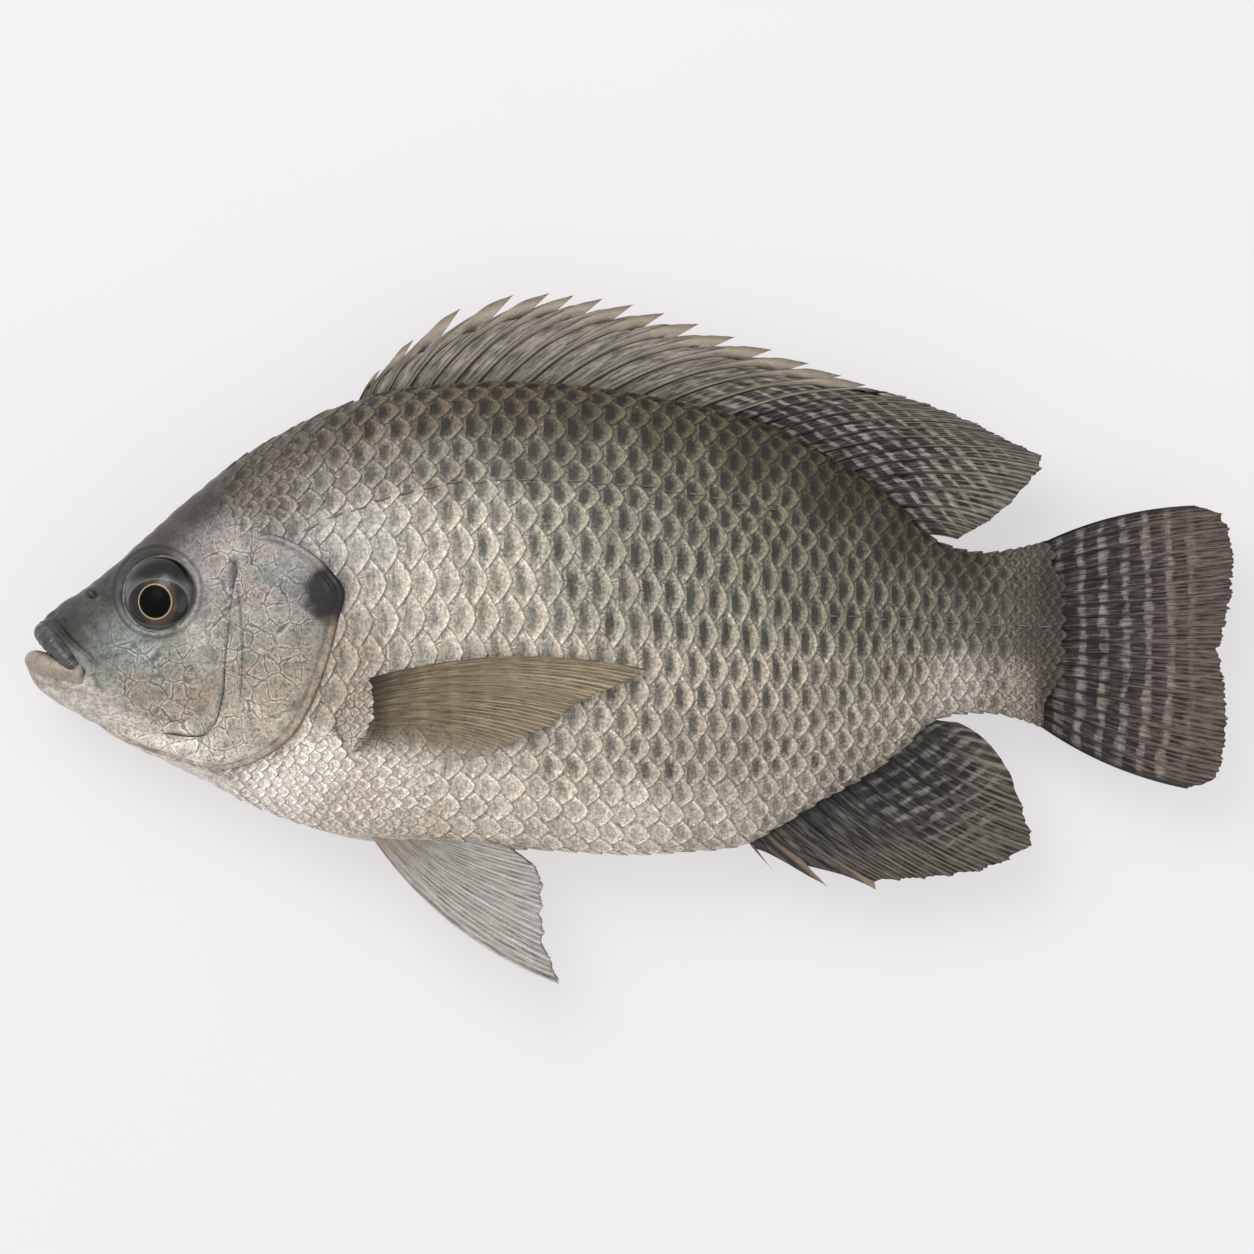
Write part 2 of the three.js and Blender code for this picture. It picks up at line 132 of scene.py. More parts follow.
@dataclass(frozen=True)
class Form:
    """The smooth outer form of the body, which every other piece is fitted to."""

    snout: float
    axis: float
    middle: float
    length: float
    depth: float
    half_width: float
    back_fullness: float = 0.85
    clearance: float = 0.04  # between the lowest skin and the surface

    @classmethod
    def from_frame(cls) -> "Form":
        """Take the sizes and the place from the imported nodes."""
        low, high = (np.array(corner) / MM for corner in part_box("body"))
        tail_low, tail_high = (np.array(corner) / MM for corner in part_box("tail_fin"))
        depth = high[1] - low[1]
        middle = (tail_low[2] + tail_high[2]) / 2
        top = max(y for _, y in BACK)
        return cls(low[0], high[1] - top * depth, middle, high[0] - low[0], depth, high[2] - middle)

    def place(self, points: Array) -> Array:
        """Turn points of the fish's frame into metres in the shared frame."""
        return (np.asarray(points, float) + (self.snout, self.axis, self.middle)) * MM

    def back(self, x: Array) -> Array:
        """Level of the back at x."""
        return follow(BACK, np.asarray(x) / self.length) * self.depth

    def belly(self, x: Array) -> Array:
        """Level of the belly at x."""
        return follow(BELLY, np.asarray(x) / self.length) * self.depth

    def level(self, x: Array) -> Array:
        """Level of the widest line at x."""
        return follow(WIDEST, np.asarray(x) / self.length) * self.depth

    def out(self, x: Array) -> Array:
        """Half width at x."""
        return follow(FLANK, np.asarray(x) / self.length) * self.half_width

    def point(self, x: Array, turn: Array) -> Array:
        """The skin's point at x, turned from the back (0) over the left flank to the belly (pi)."""
        c, s = np.cos(turn), np.sin(turn)
        level = self.level(x)
        reach = np.where(c > 0, self.back(x) - level, level - self.belly(x))
        full = np.where(c > 0, self.back_fullness, 1.0)
        z = self.out(x) * np.sign(s) * np.abs(s) ** full
        return np.stack(np.broadcast_arrays(x, level + c * np.maximum(reach, 0.2), z), -1)

    def normal(self, x: Array, turn: Array) -> Array:
        """The skin's outward direction at x and turn."""
        step = 0.4
        along = self.point(x + step, turn) - self.point(x - step, turn)
        round_ = self.point(x, turn + 0.01) - self.point(x, turn - 0.01)
        cross = np.cross(along, round_)
        cross /= np.maximum(np.linalg.norm(cross, axis=-1, keepdims=True), 1e-9)
        return -cross

    def turn_at(self, x: Array, y: Array) -> Array:
        """The turn on the left side at which the skin has the level y."""
        level = self.level(x)
        reach = np.where(y > level, self.back(x) - level, level - self.belly(x))
        return np.arccos(np.clip((y - level) / np.maximum(reach, 0.2), -1, 1))

    def skin(self, x: Array, y: Array) -> Array:
        """How far the left skin stands out from the middle plane at a point of the side view."""
        return self.point(x, self.turn_at(x, y))[..., 2]

    def rest(self, points: Array) -> Array:
        """Press points of the fish's frame flat where they would be under the surface."""
        pressed = np.array(points, float)
        pressed[..., 2] = np.maximum(pressed[..., 2], self.clearance - self.middle)
        return pressed


# ---------------------------------------------------------------- meshes


class MeshMaker:
    """Turns arrays of points into finished objects that ride on the fish."""

    def __init__(self, form: Form) -> None:
        """Keep the form that places the points."""
        self.form = form

    def build(
        self,
        name: str,
        points: Array,
        faces: Sequence[Sequence[int]] | Array,
        layers: dict[str, Array] | None = None,
        chart: Array | None = None,
    ) -> bpy.types.Object:
        """Make a mesh object from points of the fish's frame.

        Args:
            name: the object's name.
            points: n by 3, in the fish's frame.
            faces: the faces, as indices of points.
            layers: a value (n) or a colour (n by 3) per point, by attribute name.
            chart: the UV place of each point, n by 2.

        Returns:
            The object, at the world's origin.
        """
        mesh = bpy.data.meshes.new(name)
        placed = self.form.place(self.form.rest(points)).tolist()
        mesh.from_pydata(placed, [], [list(map(int, face)) for face in faces])
        if chart is not None:
            corners = np.empty(len(mesh.loops), np.int32)
            mesh.loops.foreach_get("vertex_index", corners)
            mesh.uv_layers.new(name="chart").data.foreach_set("uv", chart[corners].astype(np.float32).ravel())
        for key, values in (layers or {}).items():
            values = np.asarray(values, np.float32)
            if values.ndim == 2:
                colour = np.concatenate([values, np.ones((len(values), 1), np.float32)], 1)
                mesh.attributes.new(key, "FLOAT_COLOR", "POINT").data.foreach_set("color", colour.ravel())
            else:
                mesh.attributes.new(key, "FLOAT", "POINT").data.foreach_set("value", values)
        mesh.validate()
        mesh.shade_smooth()
        obj = bpy.data.objects.new(name, mesh)
        bpy.context.scene.collection.objects.link(obj)
        return obj


def grid_faces(rows: int, columns: int, start: int = 0, loop: bool = False, flip: bool = False) -> Array:
    """Quads over a grid of points that is stored row by row.

    Args:
        rows: number of rows.
        columns: number of points in a row.
        start: index of the grid's first point.
        loop: whether each row closes on itself.
        flip: whether the faces point the other way.

    Returns:
        The quads, as indices.
    """
    r, c = np.meshgrid(np.arange(rows - 1), np.arange(columns if loop else columns - 1), indexing="ij")
    n = (c + 1) % columns
    quads = np.stack([r * columns + c, r * columns + n, (r + 1) * columns + n, (r + 1) * columns + c], -1)
    quads = quads.reshape(-1, 4) + start
    return quads[:, ::-1] if flip else quads


def closed_sheet(top: Array, bottom: Array) -> tuple[Array, Array]:
    """Close two facing grids of points into one solid.

    Args:
        top: rows by columns by 3, the side that faces +z.
        bottom: the same for the other side.

    Returns:
        The points (top first, then bottom) and the quads, facing out.
    """
    rows, columns, _ = top.shape
    size = rows * columns
    index = np.arange(size).reshape(rows, columns)
    rim = np.concatenate([index[0, :-1], index[:-1, -1], index[-1, :0:-1], index[:0:-1, 0]])
    ahead = np.roll(rim, -1)
    wall = np.stack([ahead, rim, rim + size, ahead + size], -1)
    faces = np.concatenate([grid_faces(rows, columns), grid_faces(rows, columns, size, flip=True), wall])
    points = np.concatenate([top.reshape(-1, 3), bottom.reshape(-1, 3)])
    a, b, c = (points[faces[:, k]] for k in range(3))
    upward = np.cross(b - a, c - a)[: (rows - 1) * (columns - 1), 2].sum()
    return points, faces if upward > 0 else faces[:, ::-1]


def near_line(points: Array, line: Sequence[tuple[float, float]]) -> tuple[Array, Array]:
    """Distance from side-view points to a smoothed line.

    Args:
        points: n by 2.
        line: the line's points.

    Returns:
        The distance of each point, and its place along the line from 0 to 1.
    """
    knots = np.array(line, float)
    share = np.linspace(0, 1, len(knots))
    fine = np.linspace(0, 1, 8 * len(knots))
    path = np.stack([follow(list(zip(share, knots[:, k])), fine) for k in range(2)], -1)
    best = np.full(len(points), 1e9)
    place = np.zeros(len(points))
    for i in range(len(path) - 1):
        a, d = path[i], path[i + 1] - path[i]
        t = np.clip((points - a) @ d / (d @ d), 0, 1)
        away = np.linalg.norm(points - a - t[:, None] * d, axis=1)
        closer = away < best
        best = np.where(closer, away, best)
        place = np.where(closer, (i + t) / (len(path) - 1), place)
    return best, place


# ---------------------------------------------------------------- colours of the skin


@dataclass(frozen=True)
class Tint:
    """The skin's colour at one place of the side view."""

    x: float
    y: float
    colour: tuple[float, float, float]  # as it shows, 0 to 255
    blotch: float = 0.5  # how dark the middle of each scale is there


# The colours are as they show in the light, so some hold painted light: a painted sheen on the shoulder, and
# belly, breast, throat and jaw tints made paler as painted light against the shade on the lower side.
TINTS = [
    # head, from the snout back
    Tint(4, 3, (62, 62, 61)), Tint(10, 8, (72, 72, 70)), Tint(20, 16, (70, 69, 67)),
    Tint(32, 24, (68, 65, 61)), Tint(42, 34, (70, 66, 60)), Tint(52, 42, (86, 81, 74)),
    Tint(62, 48, (98, 92, 84)), Tint(12, 3, (66, 66, 64)), Tint(20, 8, (78, 78, 75)),
    Tint(24, 2, (122, 126, 122)), Tint(28, -2, (150, 156, 152)), Tint(36, -7, (142, 142, 134)),
    Tint(22, -7, (132, 136, 130)), Tint(30, -13, (150, 140, 128)), Tint(42, -14, (158, 146, 132)),
    Tint(46, 0, (174, 171, 163)), Tint(47, 10, (150, 146, 142)), Tint(46, 20, (140, 134, 130)),
    Tint(2, -6, (168, 156, 143)), Tint(8, -12, (202, 194, 184)), Tint(16, -15, (208, 199, 188)),
    Tint(26, -21, (212, 204, 194)), Tint(36, -26, (224, 215, 205)), Tint(46, -30, (226, 218, 208)),
    Tint(35, -19, (172, 160, 148)), Tint(16, -20, (212, 206, 198)),
    # gill cover
    Tint(58, 22, (150, 144, 139)), Tint(52, 20, (172, 167, 162)), Tint(66, 18, (150, 148, 146)),
    Tint(56, 8, (158, 153, 146)), Tint(66, 6, (162, 158, 151)), Tint(74, -2, (150, 144, 133)),
    Tint(60, -6, (152, 146, 135)), Tint(66, -12, (162, 153, 139)), Tint(54, -20, (178, 170, 157)),
    Tint(62, -22, (186, 176, 160)), Tint(50, -28, (190, 183, 170)), Tint(72, 12, (110, 112, 114)),
    # shoulder and breast; the palest tints of the shoulder hold a painted sheen
    Tint(70, 52, (98, 92, 84), 0.6), Tint(62, 36, (118, 110, 103), 0.5),
    Tint(74, 36, (138, 131, 124), 0.45), Tint(78, 28, (176, 170, 164), 0.2),
    Tint(88, 24, (182, 176, 168), 0.25), Tint(88, 8, (182, 174, 162), 0.3),
    Tint(84, -2, (170, 158, 144), 0.3), Tint(80, -12, (168, 156, 142), 0.2),
    Tint(72, -30, (226, 218, 208), 0.2), Tint(60, -36, (230, 223, 214), 0.15),
    Tint(82, -40, (206, 194, 181), 0.35), Tint(94, -36, (210, 200, 187), 0.3),
    # back, from the shoulder to the tail
    Tint(84, 57, (96, 89, 79), 0.7), Tint(100, 58, (102, 95, 82), 0.9), Tint(120, 59, (96, 89, 77), 1.0),
    Tint(140, 57, (92, 85, 73), 1.0), Tint(160, 53, (90, 84, 71), 1.0), Tint(180, 46, (82, 77, 64), 1.0),
    Tint(200, 35, (74, 70, 59), 1.0), Tint(216, 24, (78, 74, 64), 1.0), Tint(232, 19, (76, 72, 64), 0.9),
    # upper flank
    Tint(90, 44, (132, 125, 114), 0.6), Tint(105, 40, (134, 128, 118), 0.7),
    Tint(125, 46, (112, 107, 96), 0.9), Tint(145, 42, (122, 118, 105), 0.9),
    Tint(165, 38, (116, 112, 98), 0.9), Tint(185, 30, (112, 108, 94), 0.9),
    Tint(203, 20, (106, 103, 90), 0.9), Tint(220, 13, (106, 102, 91), 0.8),
    # middle of the flank
    Tint(98, 30, (184, 177, 164), 0.45), Tint(115, 30, (176, 170, 157), 0.6),
    Tint(135, 28, (152, 148, 135), 0.75), Tint(155, 25, (136, 133, 121), 0.8),
    Tint(175, 20, (134, 131, 117), 0.85), Tint(192, 12, (124, 121, 107), 0.9),
    Tint(208, 6, (116, 113, 100), 1.0), Tint(225, 4, (116, 111, 100), 0.7),
    Tint(242, 4, (104, 99, 90), 0.6), Tint(100, 12, (192, 185, 171), 0.4),
    Tint(120, 14, (188, 181, 166), 0.5), Tint(140, 13, (160, 156, 142), 0.7),
    Tint(160, 10, (150, 146, 134), 0.75), Tint(178, 5, (154, 149, 134), 0.8),
    # lower flank
    Tint(100, -2, (190, 182, 168), 0.3), Tint(130, -2, (186, 178, 164), 0.5),
    Tint(155, -8, (178, 170, 156), 0.65), Tint(178, -10, (168, 160, 146), 0.7),
    Tint(198, -8, (152, 145, 132), 0.7), Tint(216, -6, (140, 133, 121), 0.65),
    Tint(110, -33, (204, 195, 183), 0.2), Tint(135, -26, (182, 174, 160), 0.5),
    Tint(160, -26, (167, 159, 146), 0.6), Tint(182, -26, (160, 152, 139), 0.6),
    Tint(200, -24, (162, 154, 142), 0.6), Tint(214, -20, (164, 156, 144), 0.5),
    Tint(230, -12, (176, 168, 158), 0.35), Tint(244, -12, (150, 140, 130), 0.5),
    Tint(244, 14, (94, 89, 80), 0.8),
    # belly, paler than its own colour as painted light against the shade on the lower side
    Tint(100, -46, (202, 190, 175), 0.15), Tint(125, -46, (208, 197, 183), 0.15),
    Tint(150, -48, (210, 199, 186), 0.15), Tint(172, -46, (188, 179, 166), 0.3),
    Tint(188, -40, (176, 168, 155), 0.45), Tint(252, 0, (84, 78, 72), 0.5),
    Tint(256, 12, (76, 71, 65), 0.5), Tint(256, -12, (82, 74, 68), 0.5),
]  # fmt: skip


def to_light(colour: Array) -> Array:
    """Turn colours as they show, 0 to 255, into linear light."""
    c = np.asarray(colour, float) / 255
    return np.where(c <= 0.04045, c / 12.92, ((c + 0.055) / 1.055) ** 2.4)


GAIN = 1.13  # how much brighter than 1 the studio lights the fish
GLOSS = 0.027  # what the wet surface adds to every colour


def lit(light: Array) -> Array:
    """The base colour that shows as the given light in the studio."""
    return np.maximum((np.asarray(light, float) - GLOSS) / GAIN, 0.004)


def tint_at(x: Array, y: Array) -> tuple[Array, Array]:
    """The skin's colour and how blotched its scales are, at places of the side view.

    Args:
        x: places along the fish.
        y: levels.

    Returns:
        The linear colours, n by 3, and the blotch strengths.
    """
    spots = np.array([(t.x, t.y) for t in TINTS])
    light = to_light([t.colour for t in TINTS])
    blotch = np.array([t.blotch for t in TINTS])
    softness, falloff = 5.0, 2.5
    along, across = np.ravel(x)[:, None] - spots[:, 0], np.ravel(y)[:, None] - spots[:, 1]
    away = (along**2 + across**2) / softness**2
    weight = 1 / (1 + away) ** falloff
    weight /= weight.sum(1, keepdims=True)
    return lit(weight @ light), weight @ blotch


# ---------------------------------------------------------------- material nodes


class Shade:
    """A number or a colour on its way through a material's nodes."""

    def __init__(self, finish: "Nodes", socket: bpy.types.NodeSocket) -> None:
        """Wrap a socket of the finish's nodes."""
        self.finish = finish
        self.socket = socket

    def maths(self, operation: str, *others: "Shade | float") -> "Shade":
        """Add a Math node on this value and others."""
        return self.finish.add("ShaderNodeMath", {"operation": operation}, [self, *others])

    def __add__(self, other: "Shade | float") -> "Shade":
        """Add."""
        return self.maths("ADD", other)

    def __mul__(self, other: "Shade | float") -> "Shade":
        """Multiply."""
        return self.maths("MULTIPLY", other)

    def __sub__(self, other: "Shade | float") -> "Shade":
        """Subtract."""
        return self.maths("SUBTRACT", other)

    def __truediv__(self, other: "Shade | float") -> "Shade":
        """Divide."""
        return self.maths("DIVIDE", other)

    def __rsub__(self, other: float) -> "Shade":
        """Subtract this from a number."""
        return self.finish.add("ShaderNodeMath", {"operation": "SUBTRACT"}, [other, self])

    __radd__ = __add__
    __rmul__ = __mul__

    def absolute(self) -> "Shade":
        """Drop the sign."""
        return self.maths("ABSOLUTE")

    def fraction(self) -> "Shade":
        """Keep what is after the point."""
        return self.maths("FRACT")

    def wave(self) -> "Shade":
        """The sine."""
        return self.maths("SINE")

    def least(self, other: "Shade | float") -> "Shade":
        """The smaller of two."""
        return self.maths("MINIMUM", other)

    def most(self, other: "Shade | float") -> "Shade":
        """The larger of two."""
        return self.maths("MAXIMUM", other)

    def step(self, low: float, high: float, start: float = 0.0, end: float = 1.0) -> "Shade":
        """Go smoothly from start at low to end at high."""
        if low > high:
            low, high, start, end = high, low, end, start
        inputs = {"Value": self, "From Min": low, "From Max": high, "To Min": start, "To Max": end}
        return self.finish.add("ShaderNodeMapRange", {"interpolation_type": "SMOOTHSTEP"}, inputs, "Result")

    def line(self, width: float) -> "Shade":
        """1 where this is a whole number, falling to 0 at width from it."""
        return ((self + 0.5).fraction() - 0.5).absolute().step(width, 0)


class Nodes:
    """The nodes of one material."""

    def __init__(self, name: str) -> None:
        """Start a material with only its output."""
        self.material = bpy.data.materials.new(name)
        self.material.use_nodes = True
        self.tree = self.material.node_tree
        self.tree.nodes.clear()
        self.output = self.tree.nodes.new("ShaderNodeOutputMaterial")

    def add(
        self,
        kind: str,
        settings: dict[str, Any] | None = None,
        inputs: Any = None,
        output: str | int = 0,
    ) -> Shade:
        """Add a node.

        Args:
            kind: the node's type.
            settings: its own settings, set first.
            inputs: values or Shades for its sockets, by name, index or as a list.
            output: which of its outputs is wanted.

        Returns:
            That output.
        """
        node = self.tree.nodes.new(kind)
        for key, value in (settings or {}).items():
            setattr(node, key, value)
        pairs = inputs.items() if isinstance(inputs, dict) else enumerate(inputs or [])
        for key, value in pairs:
            if isinstance(value, Shade):
                self.tree.links.new(value.socket, node.inputs[key])
            else:
                node.inputs[key].default_value = value
        return Shade(self, node.outputs[output])

    def value(self, name: str) -> Shade:
        """A value that the mesh carries."""
        return self.add("ShaderNodeAttribute", {"attribute_name": name}, output="Fac")

    def colour(self, name: str) -> Shade:
        """A colour that the mesh carries."""
        return self.add("ShaderNodeAttribute", {"attribute_name": name}, output="Color")

    def chart(self) -> tuple[Shade, Shade]:
        """The two numbers of the piece's own UV map."""
        uv = self.add("ShaderNodeUVMap", {"uv_map": "chart"})
        return tuple(self.add("ShaderNodeSeparateXYZ", None, [uv], k) for k in range(2))

    def place(self) -> Shade:
        """The point in the shared frame, in metres."""
        return self.add("ShaderNodeTexCoord", output="Object")

    def join(self, *parts: Shade | float) -> Shade:
        """Make a point of three numbers."""
        return self.add("ShaderNodeCombineXYZ", None, list(parts))

    def noise(
        self, size_mm: float, detail: float = 3.0, roughness: float = 0.55, at: Shade | None = None
    ) -> Shade:
        """Cloudy noise whose patches are about size_mm wide."""
        inputs = {"Vector": at or self.place(), "Scale": 1 / (size_mm * MM)}
        inputs.update({"Detail": detail, "Roughness": roughness})
        return self.add("ShaderNodeTexNoise", None, inputs, "Fac")

    def speckle(self, size_mm: float, roughness: float = 0.7, at: Shade | None = None) -> Shade:
        """Noise spread over the whole of 0 to 1, for grain with a strong contrast."""
        return (self.noise(size_mm, 4.0, roughness, at) - 0.5) * 2.3 + 0.5

    def cells(self, size_mm: float, at: Shade) -> Shade:
        """How far a point is from the edges of irregular cells about size_mm wide."""
        inputs = {"Vector": at, "Scale": 1 / (size_mm * MM)}
        return self.add("ShaderNodeTexVoronoi", {"feature": "DISTANCE_TO_EDGE"}, inputs, "Distance")

    def mix(self, first: Any, second: Any, share: Shade | float, blend: str = "MIX") -> Shade:
        """Mix two colours."""
        settings = {"data_type": "RGBA", "blend_type": blend, "clamp_factor": True}
        return self.add("ShaderNodeMix", settings, {0: share, 6: solid(first), 7: solid(second)}, 2)

    def grey(self, value: Shade) -> Shade:
        """A number as a colour, for mixing."""
        return self.add("ShaderNodeCombineColor", None, [value, value, value])

    def bump(self, height: Shade, depth_mm: float) -> Shade:
        """A normal from a height of 0 to 1 that is depth_mm deep."""
        inputs = {"Strength": 1.0, "Distance": depth_mm * MM, "Height": height}
        return self.add("ShaderNodeBump", None, inputs)

    def finish(
        self, base: Any, roughness: Any, normal: Shade | None = None, alpha: Any = 1.0, **fixed: Any
    ) -> bpy.types.Material:
        """End in a Principled shader.

        Args:
            base: the base colour.
            roughness: a number or a Shade.
            normal: the bumped normal.
            alpha: a number or a Shade.
            fixed: what the shader's other sockets hold, with _ for a space.

        Returns:
            The material.
        """
        inputs: dict[Any, Any] = {"Base Color": solid(base), "Roughness": roughness, "Alpha": alpha}
        if normal is not None:
            inputs["Normal"] = normal
        inputs.update({key.replace("_", " "): value for key, value in fixed.items()})
        shader = self.add("ShaderNodeBsdfPrincipled", None, inputs)
        self.tree.links.new(shader.socket, self.output.inputs["Surface"])
        return self.material


def solid(colour: Any) -> Any:
    """Give a plain colour its fourth number."""
    if isinstance(colour, Shade) or len(colour) == 4:
        return colour
    return (*colour, 1.0)


def shown(red: float, green: float, blue: float) -> tuple[float, float, float]:
    """A colour as it shows, 0 to 255, in linear light."""
    return tuple(float(v) for v in lit(to_light((red, green, blue))))


# ---------------------------------------------------------------- finishes


@dataclass(frozen=True)
class ScaleFinish:
    """Overlapping scales: a dark oval where each comes out from under its neighbours, and a pale rim."""

    bow: float = 1.0  # how far back the rear edge sweeps, in pitches
    curve: float = 1.5  # 1 for a pointed scale, 2 for a round one
    coat: float = 0.2

    def material(self) -> bpy.types.Material:
        """Make the material."""
        n = Nodes("scales")
        ground, blotch, tone, edge = n.colour("ground"), n.value("blotch"), n.value("tone"), n.value("edge")
        x, v = n.chart()
        wide = v.absolute()
        grain, fine, cloud = n.speckle(0.85), n.speckle(0.36), n.noise(2.3, 3.0, 0.6)
        streak = n.speckle(1.0, 0.68, n.join(x * 0.0078, v * 0.0024, tone * 0.08))
        wavy = (cloud - 0.5) * 0.5 + (grain - 0.5) * 0.42 + (streak - 0.5) * 0.25
        along, across = (x + 0.74) / 0.33, v / 0.66
        away = (along * along + across * across).maths("SQRT") + wavy
        patch = (away - blotch * 0.4).step(1.05, -0.05) * (blotch * (tone * 0.35 + 1.15)).least(1.0)
        front = x + 1.0 + wide.maths("POWER", self.curve) * self.bow
        beside = x + 0.5 + (1 - wide).absolute().maths("POWER", self.curve) * self.bow
        covered = front.least(beside)
        shadow = covered.step(0.14, -0.02)
        # painted shade in a thin line along the rear edge of each scale
        outline_shade = (edge + (grain - 0.5) * 0.1).step(0.34, 0.1) * (1 - blotch * 0.45)
        glint = edge.step(0.3, 0.42) * edge.step(0.85, 0.55) * grain.step(0.2, 0.6)
        # painted highlight in a thin line just behind the painted shadow of the front neighbours' edges
        inner = covered.step(0.1, 0.17) * covered.step(0.28, 0.2) * fine.step(0.42, 0.62)
        pale = edge.step(2.6, 0.9)
        light = (1.0 + blotch * 0.24 + pale * 0.22) * (0.5 + grain) * (0.66 + fine * 0.68)
        light = (light * (0.6 + streak * 0.8)).most(0.2)
        light = light * (0.9 + tone * 0.2) * (1 - outline_shade * 0.4) * (1 - shadow * 0.36)
        light = light * (1 + glint * 0.26) * (1 + inner * 0.3)
        band = streak.step(0.5, 0.85) * (1 - wide).step(0.3, 0.7) * blotch
        tinted = n.mix(ground, n.mix(ground, (1.0, 0.8, 0.52), 1.0, "MULTIPLY"), band * 0.62)
        tinted = n.mix(tinted, n.mix(tinted, (0.8, 0.93, 1.0), 1.0, "MULTIPLY"), cloud.step(0.46, 0.34) * 0.6)
        base = n.mix(tinted, n.grey(light), 1.0, "MULTIPLY")
        dark = n.mix(ground, (0.1, 0.108, 0.1), 1.0, "MULTIPLY")
        dark = n.mix(dark, n.grey(streak * 1.3 + grain * 1.3), 1.0, "MULTIPLY")
        base = n.mix(base, dark, patch * 0.96)
        height = streak * 0.35 + grain * 0.45 + fine * 0.2
        rough = 0.5 + grain * 0.2 - glint * 0.12
        wet = {"Specular_IOR_Level": 0.32, "Coat_Weight": self.coat, "Coat_Roughness": 0.3}
        return n.finish(base, rough, n.bump(height, 0.22), **wet)


@dataclass(frozen=True)
class HeadFinish:
    """Bare mottled skin of the head, with faint scale outlines on the cheek."""

    coat: float = 0.25

    def material(self) -> bpy.types.Material:
        """Make the material."""
        n = Nodes("head_skin")
        ground, groove, net, red = n.colour("ground"), n.value("groove"), n.value("net"), n.value("red")
        grain, cloud, fine = n.speckle(0.9), n.noise(4.2, 4.0, 0.62), n.speckle(0.36)
        broad = n.noise(9.0, 3.0, 0.55)
        at = n.place()
        drift = n.add("ShaderNodeTexNoise", None, {"Vector": at, "Scale": 240.0, "Detail": 3.0}, "Color")
        drift = n.add("ShaderNodeVectorMath", {"operation": "SCALE"}, {0: drift, "Scale": 0.0022})
        at = n.add("ShaderNodeVectorMath", {"operation": "ADD"}, [at, drift])
        near = n.cells(4.9, at)
        small = n.cells(1.9, at)
        broken = net * broad.step(0.34, 0.52)
        seam = near.step(0.045, 0.0) * broken
        # painted highlight in a thin line beside each dark seam of the net
        seam_glint = near.step(0.045, 0.065) * near.step(0.12, 0.08) * broken
        # painted glints along thin winding lines of the grain
        worm_glint = (grain - 0.5).absolute().step(0.12, 0.0)
        tiny = small.step(0.1, 0.0) * net
        light = (0.5 + grain) * (cloud * 2.0) * (0.62 + fine * 0.76)
        light = light.most(0.2)
        light = light * (1 - seam * 0.5) * (1 - tiny * 0.2) * (1 + seam_glint * 0.6)
        # groove darkens the skin with painted shade in the creases, round the eye, in the nostril and round
        # the gill cover's edges
        light = light * (1 + worm_glint * 0.3 * (0.3 + net)) * (1 - groove.least(1.0) * 0.78)
        brown = cloud.step(0.52, 0.66) * net
        tinted = n.mix(ground, n.mix(ground, (0.66, 0.54, 0.44), 1.0, "MULTIPLY"), brown * 0.62)
        cool = n.mix(tinted, (0.88, 1.0, 0.98), 1.0, "MULTIPLY")
        tinted = n.mix(tinted, cool, cloud.step(0.46, 0.34) * net * 0.7)
        base = n.mix(n.mix(tinted, n.grey(light), 1.0, "MULTIPLY"), shown(122, 62, 44), red)
        height = grain * 0.3 + fine * 0.1 + near.step(0.0, 0.2) * broken * 0.28 - tiny * 0.15
        rough = 0.36 + grain * 0.26
        wet = {"Specular_IOR_Level": 0.35, "Coat_Weight": self.coat, "Coat_Roughness": 0.18}
        return n.finish(base, rough, n.bump(height, 0.34), **wet)


@dataclass(frozen=True)
class WetSkinFinish:
    """Smooth wet skin of one colour, such as a lip or the rim of the gill cover."""

    name: str
    colour: tuple[float, float, float]
    other: tuple[float, float, float]
    roughness: float = 0.32

    def material(self) -> bpy.types.Material:
        """Make the material."""
        n = Nodes(self.name)
        cloud, grain = n.noise(2.4, 3.0, 0.6), n.noise(0.5, 3.0, 0.6)
        base = n.mix(shown(*self.colour), shown(*self.other), cloud.step(0.35, 0.7))
        base = n.mix(base, n.grey(0.75 + grain * 0.5), 1.0, "MULTIPLY")
        return n.finish(
            base, self.roughness + grain * 0.12, n.bump(grain, 0.08), Coat_Weight=0.35, Coat_Roughness=0.18
        )


